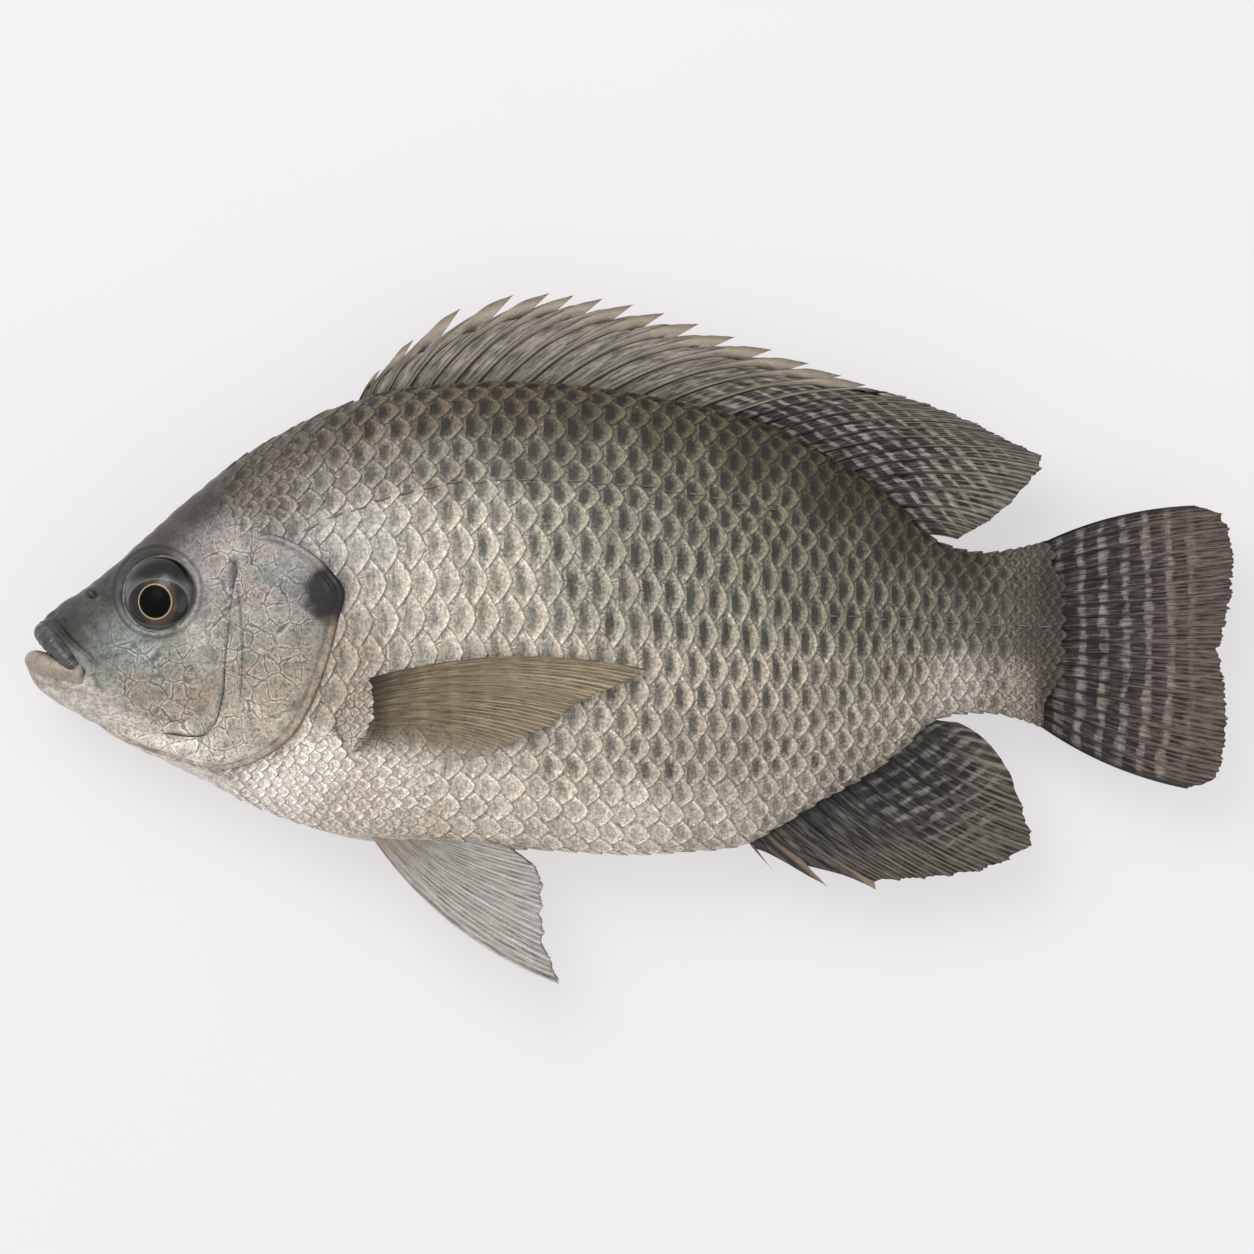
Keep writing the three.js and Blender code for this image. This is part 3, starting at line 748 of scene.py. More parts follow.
@dataclass(frozen=True)
class FinFinish:
    """Fin skin over rays: pale and dark bars across the rays, and fine lines along them."""

    name: str
    dark: tuple[float, float, float]
    pale: tuple[float, float, float]
    ray: tuple[float, float, float]
    band_mm: float = 5.0
    band_from: float = 0.0  # share of the base where the bars start
    bands: float = 1.0
    branches: bool = True
    streaks: float = 0.5
    alpha: float = 1.0
    sheer: float = 0.0  # how much more see-through the last ray is than the first
    split_at: float = 0.3  # share of a ray where it first branches
    slant: float = 0.0  # how far the bars lean from one ray to the next, in mm
    spine_pale: float = 0.0
    tone: float = 0.36
    ray_base: float = 0.45  # strength of the ray's colour at the base
    ray_root: tuple[float, float, float] = (36, 34, 32)  # the ray's colour at the base
    rim: float = 0.8
    # root: the colour towards the base; on the pectoral fin it is painted shade where the fin comes out from
    # under the lobe
    root: tuple[float, float, float] = (40, 38, 36)
    root_reach: float = 0.3
    root_strength: float = 0.7

    def material(self) -> bpy.types.Material:
        """Make the material."""
        n = Nodes(self.name)
        fan, along = n.chart()
        share, spiny, reach = n.value("share"), n.value("spiny"), n.value("reach")
        cloud = n.noise(3.0, 3.0, 0.6, n.join(fan * 0.0022, reach * MM, 0.0))
        streak = n.speckle(1.0, 0.7, n.join(fan * 0.0058, reach * 0.00016, 0.3))
        thread = n.speckle(1.0, 0.7, n.join(fan * 0.013, reach * 0.0001, 0.7))
        grain = n.noise(0.5, 3.0, 0.65)
        place = reach + (cloud - 0.5) * 4.4 + fan * self.slant
        wave = (place * (2 * math.pi / self.band_mm)).wave() * 0.5 + 0.5
        bars = share.step(self.band_from, self.band_from + 0.22) * along.step(0.97, 0.66) * self.bands
        bars = bars * (0.45 + cloud.step(0.3, 0.6) * 0.55)
        between = ((fan.fraction() - 0.5) * 2.0).absolute().step(0.95, 0.5)
        tone = self.tone + (wave.step(0.42, 1.05) - 0.27) * bars * (0.15 + between * 0.85)
        tone = tone + (streak - 0.5) * self.streaks
        front = share.step(self.band_from + 0.24, self.band_from - 0.06)
        tone = tone + (thread - 0.5) * 0.4 + front * self.spine_pale
        base = n.mix(shown(*self.dark), shown(*self.pale), tone.step(0.0, 1.0))
        ray = fan.line(0.1)
        twigs = ray
        if self.branches:
            first, second = self.split_at, self.split_at * 1.8
            twigs = twigs.most((fan * 2.0).line(0.17) * along.step(first, first + 0.16) * (1 - spiny))
            twigs = twigs.most((fan * 4.0).line(0.26) * along.step(second, second + 0.2) * (1 - spiny) * 0.85)
        groove = (fan - 0.15).line(0.07).most((fan + 0.15).line(0.06) * 0.7)
        outer = along.step(0.35, 0.8) * (1 - self.ray_base) + self.ray_base
        ray_colour = n.mix(shown(*self.ray_root), shown(*self.ray), along.step(0.3, 0.75))
        base = n.mix(base, ray_colour, twigs * (0.5 + thread * 0.45) * outer)
        spine = fan.line(0.26) * spiny * (0.55 + streak * 0.5)
        base = n.mix(base, n.mix(base, shown(*self.ray), 0.8), spine.least(1.0))
        base = n.mix(base, shown(30, 28, 26), groove * (spiny * 0.85 + 0.4 * (1 - outer * 0.7)).least(1.0))
        rim = share.step(0.035, 0.0).most(share.step(0.965, 1.0)).most(along.step(0.05, 0.0))
        base = n.mix(base, shown(38, 35, 33), rim * self.rim)
        base = n.mix(base, shown(*self.root), along.step(self.root_reach, 0.0) * self.root_strength)
        base = n.mix(base, n.grey(0.62 + grain * 0.76), 1.0, "MULTIPLY")
        height = twigs * 0.55 + streak * 0.3 + thread * 0.15
        alpha: Any = 1.0
        if self.alpha < 1:
            alpha = self.alpha + along.step(0.3, 0.1) * (1 - self.alpha) - share.step(0.35, 1.0) * self.sheer
        return n.finish(
            base, 0.48 + grain * 0.2, n.bump(height, 0.34), alpha, Specular_IOR_Level=0.3, Coat_Weight=0.08,
            Coat_Roughness=0.3,
        )  # fmt: skip


@dataclass(frozen=True)
class EyeFinish:
    """The eye seen through its wet cornea: brown iris, grey above it."""

    centre: tuple[float, float]  # of the iris, in metres in the shared frame
    iris: tuple[float, float] = (7.7, 5.9)

    def material(self) -> bpy.types.Material:
        """Make the material."""
        n = Nodes("eye")
        at = n.place()
        x, y = (n.add("ShaderNodeSeparateXYZ", None, [at], k) for k in range(2))
        across, up = (x - self.centre[0]) / MM, (y - self.centre[1]) / MM
        grain, cloud = n.noise(0.6, 3.0, 0.6), n.noise(2.2, 3.0, 0.6)
        wide, high = across / self.iris[0], up / self.iris[1]
        oval = (wide * wide + high * high).maths("SQRT")
        spread = (across * across + up * up).maths("SQRT")
        inside = oval.step(1.02, 0.98)
        edge = (oval - 1.0).absolute().step(0.07, 0.0)
        outward = (cloud * 0.7 + across.absolute() / 9.0).step(0.3, 0.9)
        brown = n.mix(shown(86, 76, 68), shown(46, 40, 36), outward)
        brown = n.mix(brown, shown(104, 80, 60), spread.step(5.2, 4.4) * 0.45)
        grey = n.mix(shown(46, 46, 47), shown(112, 112, 112), (up + cloud * 3.0).step(8.6, 5.2) * 0.8)
        base = n.mix(grey, brown, inside)
        base = n.mix(base, shown(150, 146, 140), edge * 0.35)
        base = n.mix(base, n.grey(0.75 + grain * 0.5), 1.0, "MULTIPLY")
        return n.finish(
            base, 0.25, n.bump(grain, 0.03), Specular_IOR_Level=0.3, Coat_Weight=0.35, Coat_Roughness=0.05
        )


@dataclass(frozen=True)
class PlainFinish:
    """A small piece of one colour, with a fine grain."""

    name: str
    colour: tuple[float, float, float]
    roughness: float
    coat: float = 0.0
    gloss: float = 0.25

    def material(self) -> bpy.types.Material:
        """Make the material."""
        n = Nodes(self.name)
        grain = n.noise(0.5, 3.0, 0.6)
        base = n.mix(shown(*self.colour), n.grey(0.8 + grain * 0.4), 1.0, "MULTIPLY")
        return n.finish(
            base, self.roughness + grain * 0.05, Specular_IOR_Level=self.gloss,
            Coat_Weight=self.coat, Coat_Roughness=0.05,
        )  # fmt: skip


# ---------------------------------------------------------------- the skin as a map


class SkinMap:
    """Places on one side of the skin, by x and by the arc g round the girth, in mm from the widest line."""

    def __init__(self, form: Form, stations: int = 320, steps: int = 321) -> None:
        """Measure the girth of the form at many stations."""
        self.form = form
        self.xs = np.linspace(0, form.length, stations)
        self.turns = np.linspace(0, math.pi, steps)
        points = form.point(self.xs[:, None], self.turns[None])
        pieces = np.linalg.norm(np.diff(points, axis=1), axis=2)
        self.arcs = np.concatenate([np.zeros((stations, 1)), np.cumsum(pieces, 1)], 1)
        self.above = self.arcs[:, steps // 2]
        self.total = self.arcs[:, -1]
        shares = np.linspace(0, 1, steps)
        self.inverse = np.stack([np.interp(shares, a / a[-1], self.turns) for a in self.arcs])

    def read(self, table: Array, x: Array, column: Array) -> Array:
        """Read a table of stations by columns, smoothly, at x and a share of the columns."""
        i = np.clip(np.asarray(x, float) / self.form.length, 0, 1) * (len(self.xs) - 1)
        j = np.clip(column, 0, 1) * (table.shape[1] - 1)
        i0 = np.minimum(i.astype(int), len(self.xs) - 2)
        j0 = np.minimum(np.asarray(j, float).astype(int), table.shape[1] - 2)
        a, b = i - i0, j - j0
        low = table[i0, j0] * (1 - b) + table[i0, j0 + 1] * b
        high = table[i0 + 1, j0] * (1 - b) + table[i0 + 1, j0 + 1] * b
        return low * (1 - a) + high * a

    def top(self, x: Array) -> Array:
        """The arc from the widest line up to the ridge of the back."""
        return np.interp(x, self.xs, self.above)

    def bottom(self, x: Array) -> Array:
        """The arc from the widest line down to the keel of the belly, below 0."""
        return self.top(x) - np.interp(x, self.xs, self.total)

    def arc(self, x: Array, y: Array) -> Array:
        """The arc g of a point of the side view."""
        turn = self.form.turn_at(x, y)
        return self.top(x) - self.read(self.arcs, x, turn / math.pi)

    def turn(self, x: Array, g: Array) -> Array:
        """The turn at which the left skin has the arc g."""
        share = (self.top(x) - g) / np.interp(x, self.xs, self.total)
        return self.read(self.inverse, x, share)

    def lift(self, x: Array, g: Array, height: Array, side: Side) -> Array:
        """Points at a height over the skin.

        Args:
            x: places along the fish; past its end they carry on over the tail's root.
            g: arcs round the girth.
            height: height over the skin.
            side: the side of the fish.

        Returns:
            The points, in the fish's frame.
        """
        on = np.minimum(x, self.form.length)
        turn = self.turn(on, g)
        points = self.form.point(on, turn) + self.form.normal(on, turn) * np.asarray(height)[..., None]
        past = x - on
        points[..., 0] += past
        points[..., 2] *= np.maximum(1 - past / 11, 0.35) * side.value
        return points


@dataclass(frozen=True)
class Crease:
    """A groove in the skin, or a ridge where the depth is negative, with painted shade along it."""

    line: tuple[tuple[float, float], ...]
    depth: float
    width: float
    shade: float = 0.0  # how dark the painted shade along it is
    fade: float = 0.0  # share of the length over which it fades at both ends

    def amount(self, points: Array) -> Array:
        """How strong the crease is at side-view points, from 0 to 1."""
        away, place = near_line(points, self.line)
        strength = np.exp(-((away / self.width) ** 2))
        if self.fade:
            strength = strength * ease(0, self.fade, place) * ease(1, 1 - self.fade, place)
        return strength


EYE = (34.1, 11.7)
COVER_REAR = (
    (58, 25.6), (64.3, 25.4), (71.5, 21.9), (77, 17.1), (80.4, 11.8), (78.8, 4.5), (76.2, -5.5),
    (72.3, -15.4), (67.6, -23.1), (60.3, -28.6), (50.4, -31.4), (38, -28.6), (27.1, -25), (17.1, -20.4),
)  # fmt: skip
COVER_FRONT = (
    (57, 24.8), (55.6, 21), (53.8, 16), (52.6, 10.4), (51.8, 2), (51, -6), (50.4, -13.4), (48.4, -20.4),
    (44.5, -24), (36.3, -23.6), (25.8, -21), (17.1, -19.6),
)  # fmt: skip
CREASES = (
    # mouth, eye socket and snout
    Crease(((0, -2.9), (3.1, -3.2), (6, -3.8), (9, -4.6), (12, -6.2), (14.6, -8)), 2.4, 0.9, 0.9),
    Crease(((17.2, -4.4), (22.8, -4.5), (29.1, -0.9), (36, 0.5), (43, 4.6)), 0.5, 0.7, 0.35, 0.15),
    Crease(((17.4, -8), (18.6, -10.4), (20.7, -13.6)), 0.7, 0.6, 0.6, 0.2),
    Crease(
        ((6.6, 7.6), (8.4, 4.4), (10.8, 1.2), (14.2, -1.9), (17.6, -5), (18.2, -8.6)), 0.9, 0.8, 0.55, 0.2
    ),
    Crease(((3.4, 4.8), (6.2, 6.0), (9, 8.4)), 0.5, 0.6, 0.3, 0.2),
    # jaw and gill membranes
    Crease(((14.4, -12), (24, -16.5), (33, -19.4), (42, -19.6), (47.4, -15)), 0.35, 0.8, 0.2, 0.2),
    Crease(((3, -10.6), (9, -12.2), (15.5, -13.2), (19.4, -15.6)), 0.45, 0.6, 0.35, 0.2),
    Crease(((9, -16), (16, -20.6), (24, -23.6), (34, -27.4), (44, -30.6)), 0.4, 0.5, 0.3, 0.15),
    Crease(((30, -26), (40, -29.8), (49, -32.8), (57, -33.2), (64, -30)), 0.5, 0.5, 0.35, 0.15),
    Crease(((28, -27.6), (40, -32.2), (50, -35.2)), 0.35, 0.5, 0.25, 0.2),
    # rear of the cheek
    Crease(
        ((52.9, 19), (53.4, 10.4), (51.4, -6), (50.8, -13.4), (48.8, -20.8), (44.5, -24.5), (36, -24)),
        1.2, 0.95, 1.0,
    ),
    Crease(((49.6, 15), (49, 4), (47.6, -8), (45, -17), (38, -20)), 0.35, 0.9, 0.12, 0.2),
    # round and over the lobe of the pectoral fin
    Crease(((78.4, -5), (76.9, -10), (77.2, -18), (79.4, -25), (84, -29.6)), 1.0, 0.9, 0.75, 0.15),
    Crease(((79.6, -7), (84, -6), (88, -8)), 0.6, 0.7, 0.5, 0.2),
    # no groove here: only painted shade on the skin along the root of the pectoral fin
    Crease(((88, -7.6), (90.4, -13), (90.6, -20), (88.8, -26.4)), 0.0, 2.4, 0.75, 0.12),
    Crease(((80.4, -11), (84.5, -12.2), (88.6, -12)), 0.3, 0.5, 0.3, 0.2),
    Crease(((80, -15), (84, -16.4), (88.4, -16.4)), 0.3, 0.5, 0.3, 0.2),
    Crease(((80.2, -19), (84, -20.6), (88, -20.8)), 0.3, 0.5, 0.3, 0.2),
    Crease(((81.2, -23), (84.8, -24.6), (88, -25)), 0.3, 0.5, 0.3, 0.2),
    # behind the eye
    Crease(((40.6, -1.8), (44.6, 3), (47, 9), (46.6, 15)), 0.25, 0.8, 0.12, 0.2),
)  # fmt: skip
NOSTRIL = (17.4, 11.2)
LOBE = (84.0, -16.5)


def from_lobe(x: Array, y: Array) -> Array:
    """How far side-view points are from the middle of the pectoral fin's lobe, 1 at its edge."""
    return np.hypot((x - LOBE[0]) / 5.4, (y - LOBE[1]) / 11.5)


def lobe_rise(x: Array, y: Array) -> Array:
    """How far the fleshy lobe of the pectoral fin stands out at side-view points."""
    return 1.7 * ease(1.2, 0.5, from_lobe(x, y))


@dataclass
class BodySkin:
    """The whole skin under the scales, with the bare head worked into it."""

    form: Form
    skin: SkinMap
    maker: MeshMaker
    head_end: float = 92.0
    head_stations: int = 232
    trunk_stations: int = 66
    half_sides: int = 150
    orbit: float = 9.3

    def relief(self, x: Array, y: Array) -> dict[str, Array]:
        """Work out the skin's relief and its shading at side-view points.

        Args:
            x: places along the fish.
            y: levels.

        Returns:
            The rise over the smooth form, the groove shade, the red of the mouth and the strength of the net.
        """
        points = np.stack([x, y], -1)
        # shade is painted shade: it darkens the skin in the creases, round and inside the eye socket, in the
        # nostril and in the pore
        rise, shade = np.zeros(len(x)), np.zeros(len(x))
        for crease in CREASES:
            amount = crease.amount(points)
            rise -= amount * crease.depth
            shade = np.maximum(shade, amount * crease.shade)
        eye = np.hypot(x - EYE[0], y - EYE[1])
        rise -= 3.6 * (1 - ease(self.orbit - 3.3, self.orbit + 0.4, eye))
        for radius, height, width in ((self.orbit + 1.0, 0.55, 0.5), (self.orbit + 2.5, 0.3, 0.5)):
            rise += height * np.exp(-(((eye - radius) / width) ** 2))
        shade = np.maximum(shade, 0.8 * np.exp(-(((eye - self.orbit - 1.8) / 0.4) ** 2)))
        shade = np.maximum(shade, 1 - ease(self.orbit - 0.2, self.orbit + 0.4, eye))
        pit = np.hypot(x - NOSTRIL[0], (y - NOSTRIL[1]) * 1.15)
        rise += 0.45 * np.exp(-(((pit - 1.7) / 0.55) ** 2)) - 1.6 * np.exp(-((pit / 0.95) ** 2))
        shade = np.maximum(shade, np.exp(-((pit / 1.0) ** 2)))
        pore = np.hypot(x - 10.4, y - 4.7)
        rise -= 0.5 * np.exp(-((pore / 0.6) ** 2))
        shade = np.maximum(shade, 0.7 * np.exp(-((pore / 0.6) ** 2)))
        rise += lobe_rise(x, y)
        head = ease(self.head_end, 60, x)
        lumps = np.sin(x * 0.9 + 1.3 * np.sin(y * 0.5)) * np.sin(y * 0.8 + 1.1 * np.sin(x * 0.37))
        rise += head * 0.14 * lumps
        red = Crease(((0.4, -3.0), (3.1, -3.2), (6, -3.8), (9, -4.6)), 0, 1.0).amount(points)
        net = ease(17, 26, x) * np.maximum(ease(22, 14, y), ease(40, 46, x))
        net = net * ease(-34, -26, y) * ease(2.2, 6, eye - self.orbit)
        return {"rise": rise, "groove": shade, "red": red, "net": net}

    def build(self) -> bpy.types.Object:
        """Loft the skin and work the head's relief into it."""
        form = self.form
        xs = np.concatenate([
            np.linspace(0, 1, self.head_stations) ** 1.25 * self.head_end,
            np.linspace(self.head_end, form.length, self.trunk_stations + 1)[1:],
        ])  # fmt: skip
        shares = np.linspace(0, 1, self.half_sides + 1)
        along, round_ = xs[:, None] + 0 * shares[None], shares[None] + 0 * xs[:, None]
        turn = self.skin.read(self.skin.inverse, along, round_)
        turn = np.concatenate([turn, -turn[:, -2:0:-1]], 1)
        x = np.repeat(xs[:, None], turn.shape[1], 1)
        points = form.point(x, turn).reshape(-1, 3)
        normals = form.normal(x, turn).reshape(-1, 3)
        parts = self.relief(points[:, 0], points[:, 1])
        colour, _ = tint_at(points[:, 0], points[:, 1])
        rise = parts.pop("rise") * ease(0, 2.5, points[:, 0])
        points = points + normals * rise[:, None]
        near, level = points[:, 0], points[:, 1]
        open_ = np.exp(-(((level + 1.1 + 0.24 * near) / np.maximum(2.5 - 0.23 * near, 0.5)) ** 4))
        points[:, 0] += np.maximum(7.6 - near, 0) * open_
        rows, columns = turn.shape
        faces = grid_faces(rows, columns, loop=True)
        nose, tail = np.arange(columns), np.arange(columns) + (rows - 1) * columns
        ends = [tuple(nose), tuple(tail[::-1])]
        obj = self.maker.build(
            "skin", points, faces.tolist() + [list(map(int, e)) for e in ends], {"ground": colour, **parts}
        )
        recalculate(obj)
        obj.data.materials.append(HeadFinish().material())
        return dress(obj, "skin", "body")


def recalculate(obj: bpy.types.Object) -> None:
    """Turn a closed mesh's faces outward."""
    bpy.ops.object.select_all(action="DESELECT")
    bpy.context.view_layer.objects.active = obj
    obj.select_set(True)
    bpy.ops.object.mode_set(mode="EDIT")
    bpy.ops.mesh.select_all(action="SELECT")
    bpy.ops.mesh.normals_make_consistent(inside=False)
    bpy.ops.object.mode_set(mode="OBJECT")
    obj.select_set(False)


def dress(obj: bpy.types.Object, slot: str, *nodes: str) -> bpy.types.Object:
    """Ride a piece on the fish and hide the imported nodes that it stands for."""
    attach(obj, "root")
    if nodes:
        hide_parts(*nodes)
    log.info("%s: %d faces", obj.name, len(obj.data.polygons))
    return obj


# ---------------------------------------------------------------- scales


@dataclass
class ScaleField:
    """One field of overlapping scales, set out in columns with every other row half a step on."""

    form: Form
    skin: SkinMap
    maker: MeshMaker
    name: str
    start: float
    end: float
    pitch: Callable[[float], float]
    rows: Sequence[float]  # arcs of the rows at the deepest part
    shrink: Callable[[Array], Array]  # how far the rows draw together at x
    inside: Callable[[Array, Array], Array]  # whether a scale at x, y belongs to the field
    rise: float = 0.44
    sunk: float = -0.34
    bow: float = ScaleFinish.bow
    seed: int = 11

    def anchors(self) -> tuple[Array, ...]:
        """Places of the scales' rear tips: x, arc, pitch and half height."""
        stops = [self.start]
        while stops[-1] < self.end:
            stops.append(stops[-1] + self.pitch(stops[-1]))
        stops = np.array(stops)
        found = []
        rows = np.array(self.rows, float)
        half = np.gradient(rows) * -1
        for k, g in enumerate(rows):
            x = stops if k % 2 == 0 else (stops[:-1] + stops[1:]) / 2
            squeeze = self.shrink(x)
            steps = np.array([self.pitch(v) for v in x])
            found.append(np.stack([x, g * squeeze, steps, half[k] * squeeze], 1))
        x, g, pitch, reach = np.concatenate(found).T
        middle = x - pitch * 0.5
        points = self.form.point(np.minimum(middle, self.form.length), self.skin.turn(middle, g))
        ok = (g < self.skin.top(middle) + reach * 0.35) & (g > self.skin.bottom(middle) - reach * 0.35)
        ok &= self.inside(middle, points[:, 1])
        return x[ok], g[ok], pitch[ok], reach[ok]

    def build(self, side: Side) -> bpy.types.Object:
        """Make the field's scales on one side as one mesh."""
        x, g, pitch, reach = self.anchors()
        rng = np.random.default_rng(self.seed + side.value)
        count = len(x)
        tone = rng.random(count)
        tilt = rng.normal(0, 0.05, count)
        x = x + rng.normal(0, 0.035, count) * pitch
        g = g + rng.normal(0, 0.02, count) * reach
        across = np.array([-1.0, -0.8, -0.55, -0.28, 0.0, 0.28, 0.55, 0.8, 1.0])
        along = np.array([0.0, 0.3, 0.55, 0.78, 0.93, 1.0, 1.0])
        v, u = across[None, :], along[:, None]
        sweep = self.bow * np.abs(v) ** ScaleFinish.curve
        front = -1.45 - 0.12 * np.abs(v)
        local = (1 - u) * front + u * -sweep
        slope = ScaleFinish.curve * self.bow * np.abs(v) ** (ScaleFinish.curve - 1)
        crown = 0.05 * (1 - v**2) * u
        height = self.sunk + (self.rise - self.sunk) * u**0.9 + crown - 0.56 * np.abs(v) ** 2.6
        height[-1] -= 0.5
        px = x[:, None, None] + local[None] * pitch[:, None, None] + (tilt * pitch)[:, None, None] * v[None]
        pg = g[:, None, None] + (v * reach[:, None, None]) + 0 * px
        flat_x, flat_g = px.ravel(), pg.ravel()
        lifted = (height[None] * (0.9 + 0.2 * tone)[:, None, None] + 0 * px).ravel()
        level = self.skin.lift(flat_x, flat_g, 0 * lifted, side)[:, 1]
        points = self.skin.lift(flat_x, flat_g, lifted + lobe_rise(flat_x, level), side)
        leaning = np.sqrt(1 + (slope[None] * (pitch / reach)[:, None, None]) ** 2)
        gap = (-sweep - local)[None] * pitch[:, None, None] / leaning
        rows, columns = len(along), len(across)
        size = rows * columns
        single = grid_faces(rows, columns, flip=side is Side.RIGHT)
        faces = (single[None] + (np.arange(count) * size)[:, None, None]).reshape(-1, 4)[:, ::-1]
        side_y = points[:, 1]
        ground, blotch = tint_at(flat_x, side_y)
        chart = np.stack([np.tile(local.ravel(), count), np.tile(np.tile(across, rows), count)], 1)
        layers = {
            "ground": ground,
            "blotch": blotch * np.repeat(0.9 + 0.2 * rng.random(count), size),
            "tone": np.repeat(tone, size),
            "edge": gap.ravel(),
        }
        obj = self.maker.build(f"{self.name}_{side.word}", points, faces, layers, chart)
        return dress(obj, "skin")


@dataclass
class LateralLine:
    """The two rows of pored scales on a side, each with a small pale tube."""

    form: Form
    skin: SkinMap
    maker: MeshMaker
    upper: tuple[tuple[float, float], ...] = (
        (70, 26.4), (75.7, 29.3), (89.9, 34.3), (101.3, 37.5), (111.4, 38.7), (125.7, 39.1), (139.8, 38.5),
        (154.2, 37.5), (164.9, 35.8), (175.6, 33.9), (184, 31.8),
    )  # fmt: skip
    lower: tuple[tuple[float, float], ...] = (
        (198, 6), (210, 5.4), (222, 4.8), (234, 4.2), (244, 3.7), (252, 3.2),
    )  # fmt: skip
    step: float = 5.9
    tube_length: float = 3.9
    tube_radius: float = 0.24

    def build(self, side: Side) -> bpy.types.Object:
        """Make the tubes of one side as one mesh."""
        every, faces = [], []
        for line in (self.upper, self.lower):
            stops = np.arange(line[0][0], line[-1][0], self.step)
            for k, x in enumerate(stops):
                at = x + np.linspace(0, self.tube_length, 6)
                level = follow(line, at) + 0.25 * math.sin(k * 2.4)
                height = 0.34 + 0.12 * np.linspace(0, 1, 6)
                path = self.skin.lift(at, self.skin.arc(at, level), height, side)
                radii = self.tube_radius * np.array([0.35, 0.8, 1, 1, 0.8, 0.35])
                points, shell = tube(path, radii, 8)
                faces += [[index + 48 * len(every) for index in face] for face in shell]
                every.append(points)
        obj = self.maker.build(f"lateral_line_{side.word}", np.concatenate(every), faces)
        recalculate(obj)
        obj.data.materials.append(WetSkinFinish("pore_tube", (122, 116, 106), (84, 80, 72)).material())
        return dress(obj, "skin")


# ---------------------------------------------------------------- gill cover


@dataclass
class GillCover:
    """The bony cover over the gills, its rear edge standing free of the body."""

    form: Form
    skin: SkinMap
    maker: MeshMaker
    stand: float = 1.25  # of the rear edge over the skin
    spot: tuple[float, float] = (77.0, 11.4)  # the dark spot's middle
    spot_size: tuple[float, float] = (6.2, 7.4)
    rows: int = 170
    columns: int = 96

    def build(self, side: Side) -> bpy.types.Object:
        """Make the cover as one closed sheet between its front and rear lines."""
        t = np.linspace(0, 1, self.rows)
        s = np.linspace(0, 1, self.columns)
        ends = []
        for line in (COVER_FRONT, COVER_REAR):
            knots = np.array(line, float)
            steps = np.concatenate([[0], np.cumsum(np.hypot(*np.diff(knots, axis=0).T))])
            columns = (knots[:, 0], self.skin.arc(*knots.T))
            table = [list(zip(steps / steps[-1], column)) for column in columns]
            ends.append(np.stack([follow(rows, t) for rows in table], -1))
        front, rear = ends
        x = front[:, None, 0] * (1 - s) + rear[:, None, 0] * s
        g = front[:, None, 1] * (1 - s) + rear[:, None, 1] * s
        span = np.hypot(rear[:, 0] - front[:, 0], rear[:, 1] - front[:, 1])[:, None]
        behind = (1 - s[None]) * span  # mm in front of the rear edge
        body = ease(0, 0.5, s[None] * span / 12)
        height = -0.25 + body * (self.stand + 0.25) + 0.5 * np.sin(math.pi * s[None]) * ease(4, 18, span)
        rim = np.exp(-(((behind - 2.3) / 0.6) ** 2))
        height = height - 0.45 * rim - 0.1 * np.exp(-(((behind - 1.1) / 0.3) ** 2))
        seam = Crease(((53.4, 16), (55, 4), (55.3, -7), (54.4, -18)), 0.22, 0.36, 0.8, 0.15)
        level = self.skin.lift(x.ravel(), g.ravel(), 0 * x.ravel(), side)[:, 1]
        seam = seam.amount(np.stack([x.ravel(), level], 1)).reshape(x.shape)
        lumps = 0.1 * np.sin(x * 0.8 + np.sin(g * 0.4) * 1.4) * body
        height = height - 0.25 * seam - 0.55 * (1 - ease(0, 0.8, behind)) + lumps
        top = self.skin.lift(x.ravel(), g.ravel(), height.ravel(), side).reshape(self.rows, self.columns, 3)
        inner = (height * 0 - 0.9 + 0.6 * s[None]).ravel()
        under = self.skin.lift(x.ravel(), g.ravel(), inner, side).reshape(top.shape)
        if side is Side.RIGHT:
            top, under = under, top
        points, faces = closed_sheet(top, under)
        flat_x, flat_y = points[:, 0], points[:, 1]
        ground, _ = tint_at(flat_x, flat_y)
        double = np.concatenate([behind.ravel()] * 2)
        band = ease(2.2, 1.5, double) * np.concatenate([np.repeat(ease(0.06, 0.2, t), self.columns)] * 2)
        ground = ground * (1 - band[:, None] * 0.75) + lit(to_light((170, 150, 130))) * band[:, None] * 0.75
        (spot_x, spot_y), (wide, high) = self.spot, self.spot_size
        spot = np.hypot((flat_x - spot_x) / wide, (flat_y - spot_y) / high)
        spot = spot + 0.12 * np.sin(flat_y * 1.3) * np.sin(flat_x)
        mark = (ease(1.2, 0.72, spot) * 0.85 + ease(2.3, 1.0, spot) * 0.15)[:, None]
        ground = ground * (1 - mark) + lit(to_light((26, 30, 33))) * mark
        # painted shade in the rim's groove, under the free rear edge and along the seam, read as groove by
        # the head's finish
        edge = np.exp(-(((double - 2.3) / 0.4) ** 2)) * 0.4 + (1 - ease(0.1, 0.6, double)) * 0.8
        edge = edge + np.concatenate([seam.ravel()] * 2) * 0.7
        net = ease(3, 6, double) * (1 - mark[:, 0] * 0.5)
        layers = {"ground": ground, "groove": edge, "net": net, "red": 0 * edge}
        obj = self.maker.build(f"cover_{side.word}", points, faces, layers)
        recalculate(obj)
        obj.data.materials.append(bpy.data.materials["head_skin"])
        return dress(obj, "gill_cover", f"gill_cover_{side.word}")


# ---------------------------------------------------------------- mouth, nostrils and eyes


